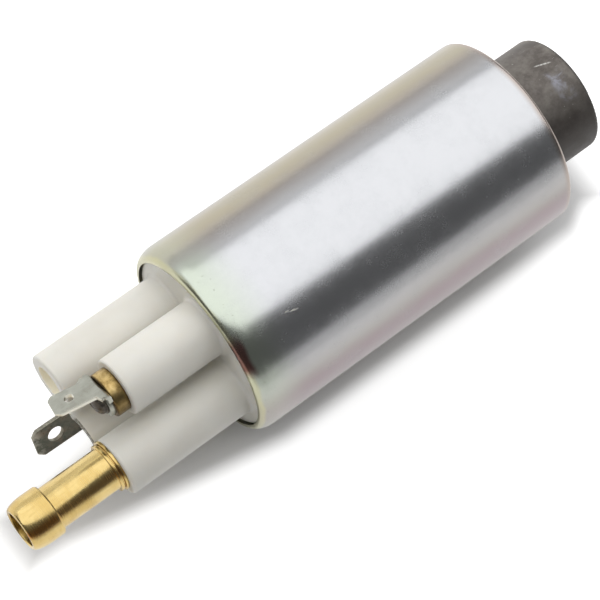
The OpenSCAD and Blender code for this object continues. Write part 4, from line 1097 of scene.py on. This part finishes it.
class FUELPUMP_OT_springs(bpy.types.Operator):
    """Add the springs and leads as smooth copies of their nodes"""

    bl_idname = "fuel_pump.springs"
    bl_label = "Springs and leads"

    # Each slide: the spring whose outlet end is the fixed seat, and the travel
    SLIDES = {
        "positive_brush_slide": ("positive_brush_spring", BRUSH_TRAVEL),
        "negative_brush_slide": ("negative_brush_spring", BRUSH_TRAVEL),
        "check_valve_slide": ("check_spring", VALVE_TRAVEL),
        "relief_valve_slide": ("relief_spring", VALVE_TRAVEL),
    }
    # Each node: the name of its piece and its slide
    COILS = {
        "positive_brush_spring": ("coil_of_plus_brush", "positive_brush_slide"),
        "negative_brush_spring": ("coil_of_minus_brush", "negative_brush_slide"),
        "positive_shunt": ("lead_of_plus_brush", "positive_brush_slide"),
        "negative_shunt": ("lead_of_minus_brush", "negative_brush_slide"),
        "check_spring": ("coil_of_check_valve", "check_valve_slide"),
        "relief_spring": ("coil_of_relief_valve", "relief_valve_slide"),
    }

    def execute(self, context):
        steel = plain_metal("coil_steel", (168, 170, 174), (118, 120, 124), 0.3)
        copper = plain_metal("lead_copper", (206, 122, 78), (158, 82, 50), 0.32)
        for node, (name, joint) in self.COILS.items():
            finish, slot = (copper, "copper") if name.startswith("lead") else (steel, "spring_steel")
            bm = bmesh.new()
            bm.from_mesh(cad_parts[node].data)
            bm.transform(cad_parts[node].matrix_world)
            coil = finish_piece(name, bm, sharp=math.radians(75))
            dress(coil, finish)
            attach(coil, HOUSING)
            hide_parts(node)
            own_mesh(coil)
        return {"FINISHED"}


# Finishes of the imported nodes


class FUELPUMP_OT_node_finishes(bpy.types.Operator):
    """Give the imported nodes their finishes"""

    bl_idname = "fuel_pump.node_finishes"
    bl_label = "Finishes of the other pieces"

    # Metals: name, light and dark tint as 0 to 255 values, roughness, metallic share and nodes
    METALS = (
        ("valve_brass", (214, 176, 96), (176, 138, 66), 0.3, 1.0,
         ("check_poppet", "relief_retainer", "negative_bush")),
        ("ground_steel", (196, 197, 200), (160, 161, 164), 0.28, 1.0,
         ("armature_shaft", "relief_ball", "pump_screws", "bearing_retainer")),
        ("spring_wire", (168, 170, 174), (118, 120, 124), 0.3, 1.0, ("magnet_clips",)),
        ("sintered_iron", (128, 128, 128), (88, 88, 90), 0.5, 0.8, ("discharge_plate", "gear_ring")),
        ("gear_steel", (150, 150, 152), (108, 108, 112), 0.4, 1.0, ("inner_gear", "outer_gear")),
        ("core_iron", (112, 112, 116), (78, 78, 84), 0.45, 0.9, ("core_stack",)),
        ("bearing_bronze", (168, 124, 70), (116, 82, 44), 0.42, 1.0, ("upper_bearing", "lower_bearing")),
        ("copper_wire", (206, 122, 78), (158, 82, 50), 0.32, 1.0, ("windings", "commutator_segments")),
    )
    # Moulded and pressed pieces: name, light and dark tint, roughness and nodes
    MOULDINGS = (
        ("black_rubber", (0.012, 0.012, 0.012), (0.022, 0.022, 0.022), 0.6,
         ("cap_seal", "body_seal", "check_seal")),
        ("pressed_carbon", (0.020, 0.020, 0.022), (0.035, 0.035, 0.037), 0.5,
         ("positive_brush", "negative_brush")),
        ("pressed_ferrite", (0.030, 0.030, 0.033), (0.048, 0.048, 0.050), 0.55,
         ("magnet_left", "magnet_right")),
        ("phenolic", srgb(58, 40, 28), srgb(78, 54, 36), 0.45, ("commutator_hub", "thrust_washers")),
        ("insulation", srgb(206, 200, 176), srgb(188, 180, 152), 0.5, ("core_insulators",)),
    )

    def execute(self, context):
        finishes = {moulded_acetal(): ("outlet_cap", "check_guide"), dark_casting(): ("inlet_body",)}
        for name, light, dark, rough, metallic, nodes in self.METALS:
            finishes[plain_metal(name, light, dark, rough, metallic)] = nodes
        for name, light, dark, rough, nodes in self.MOULDINGS:
            finishes[plain_moulding(name, light, dark, rough)] = nodes
        for finish, nodes in finishes.items():
            for node in nodes:
                dress_node(node, finish)
        return {"FINISHED"}


class FUELPUMP_PT_panel(bpy.types.Panel):
    """Lists the pieces of the fuel pump"""

    bl_idname = "FUELPUMP_PT_panel"
    bl_label = "Fuel Pump"
    bl_space_type = "VIEW_3D"
    bl_region_type = "UI"
    bl_category = "Fuel Pump"

    def draw(self, context):
        for operator in OPERATORS:
            self.layout.operator(operator.bl_idname)


GROUPS = {
    "fuel_pump_stage": FUELPUMP_PG_stage,
    "fuel_pump_shell": FUELPUMP_PG_shell,
    "fuel_pump_barb": FUELPUMP_PG_barb,
    "fuel_pump_terminals": FUELPUMP_PG_terminals,
}
OPERATORS = (
    FUELPUMP_OT_stage,
    FUELPUMP_OT_shell,
    FUELPUMP_OT_barb,
    FUELPUMP_OT_bush,
    FUELPUMP_OT_rivets,
    FUELPUMP_OT_blades,
    FUELPUMP_OT_springs,
    FUELPUMP_OT_node_finishes,
)
CLASSES = (*GROUPS.values(), *OPERATORS, FUELPUMP_PT_panel)


def register():
    for cls in CLASSES:
        bpy.utils.register_class(cls)
    for name, group in GROUPS.items():
        setattr(bpy.types.Scene, name, bpy.props.PointerProperty(type=group))


def unregister():
    for name in GROUPS:
        delattr(bpy.types.Scene, name)
    for cls in reversed(CLASSES):
        bpy.utils.unregister_class(cls)


def main():
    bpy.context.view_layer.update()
    register()
    bpy.ops.fuel_pump.stage()
    bpy.ops.fuel_pump.shell()
    bpy.ops.fuel_pump.barb()
    bpy.ops.fuel_pump.bush()
    bpy.ops.fuel_pump.rivets()
    bpy.ops.fuel_pump.blades()
    bpy.ops.fuel_pump.springs()
    bpy.ops.fuel_pump.node_finishes()
    bpy.context.view_layer.update()


if __name__ == "__main__":
    main()
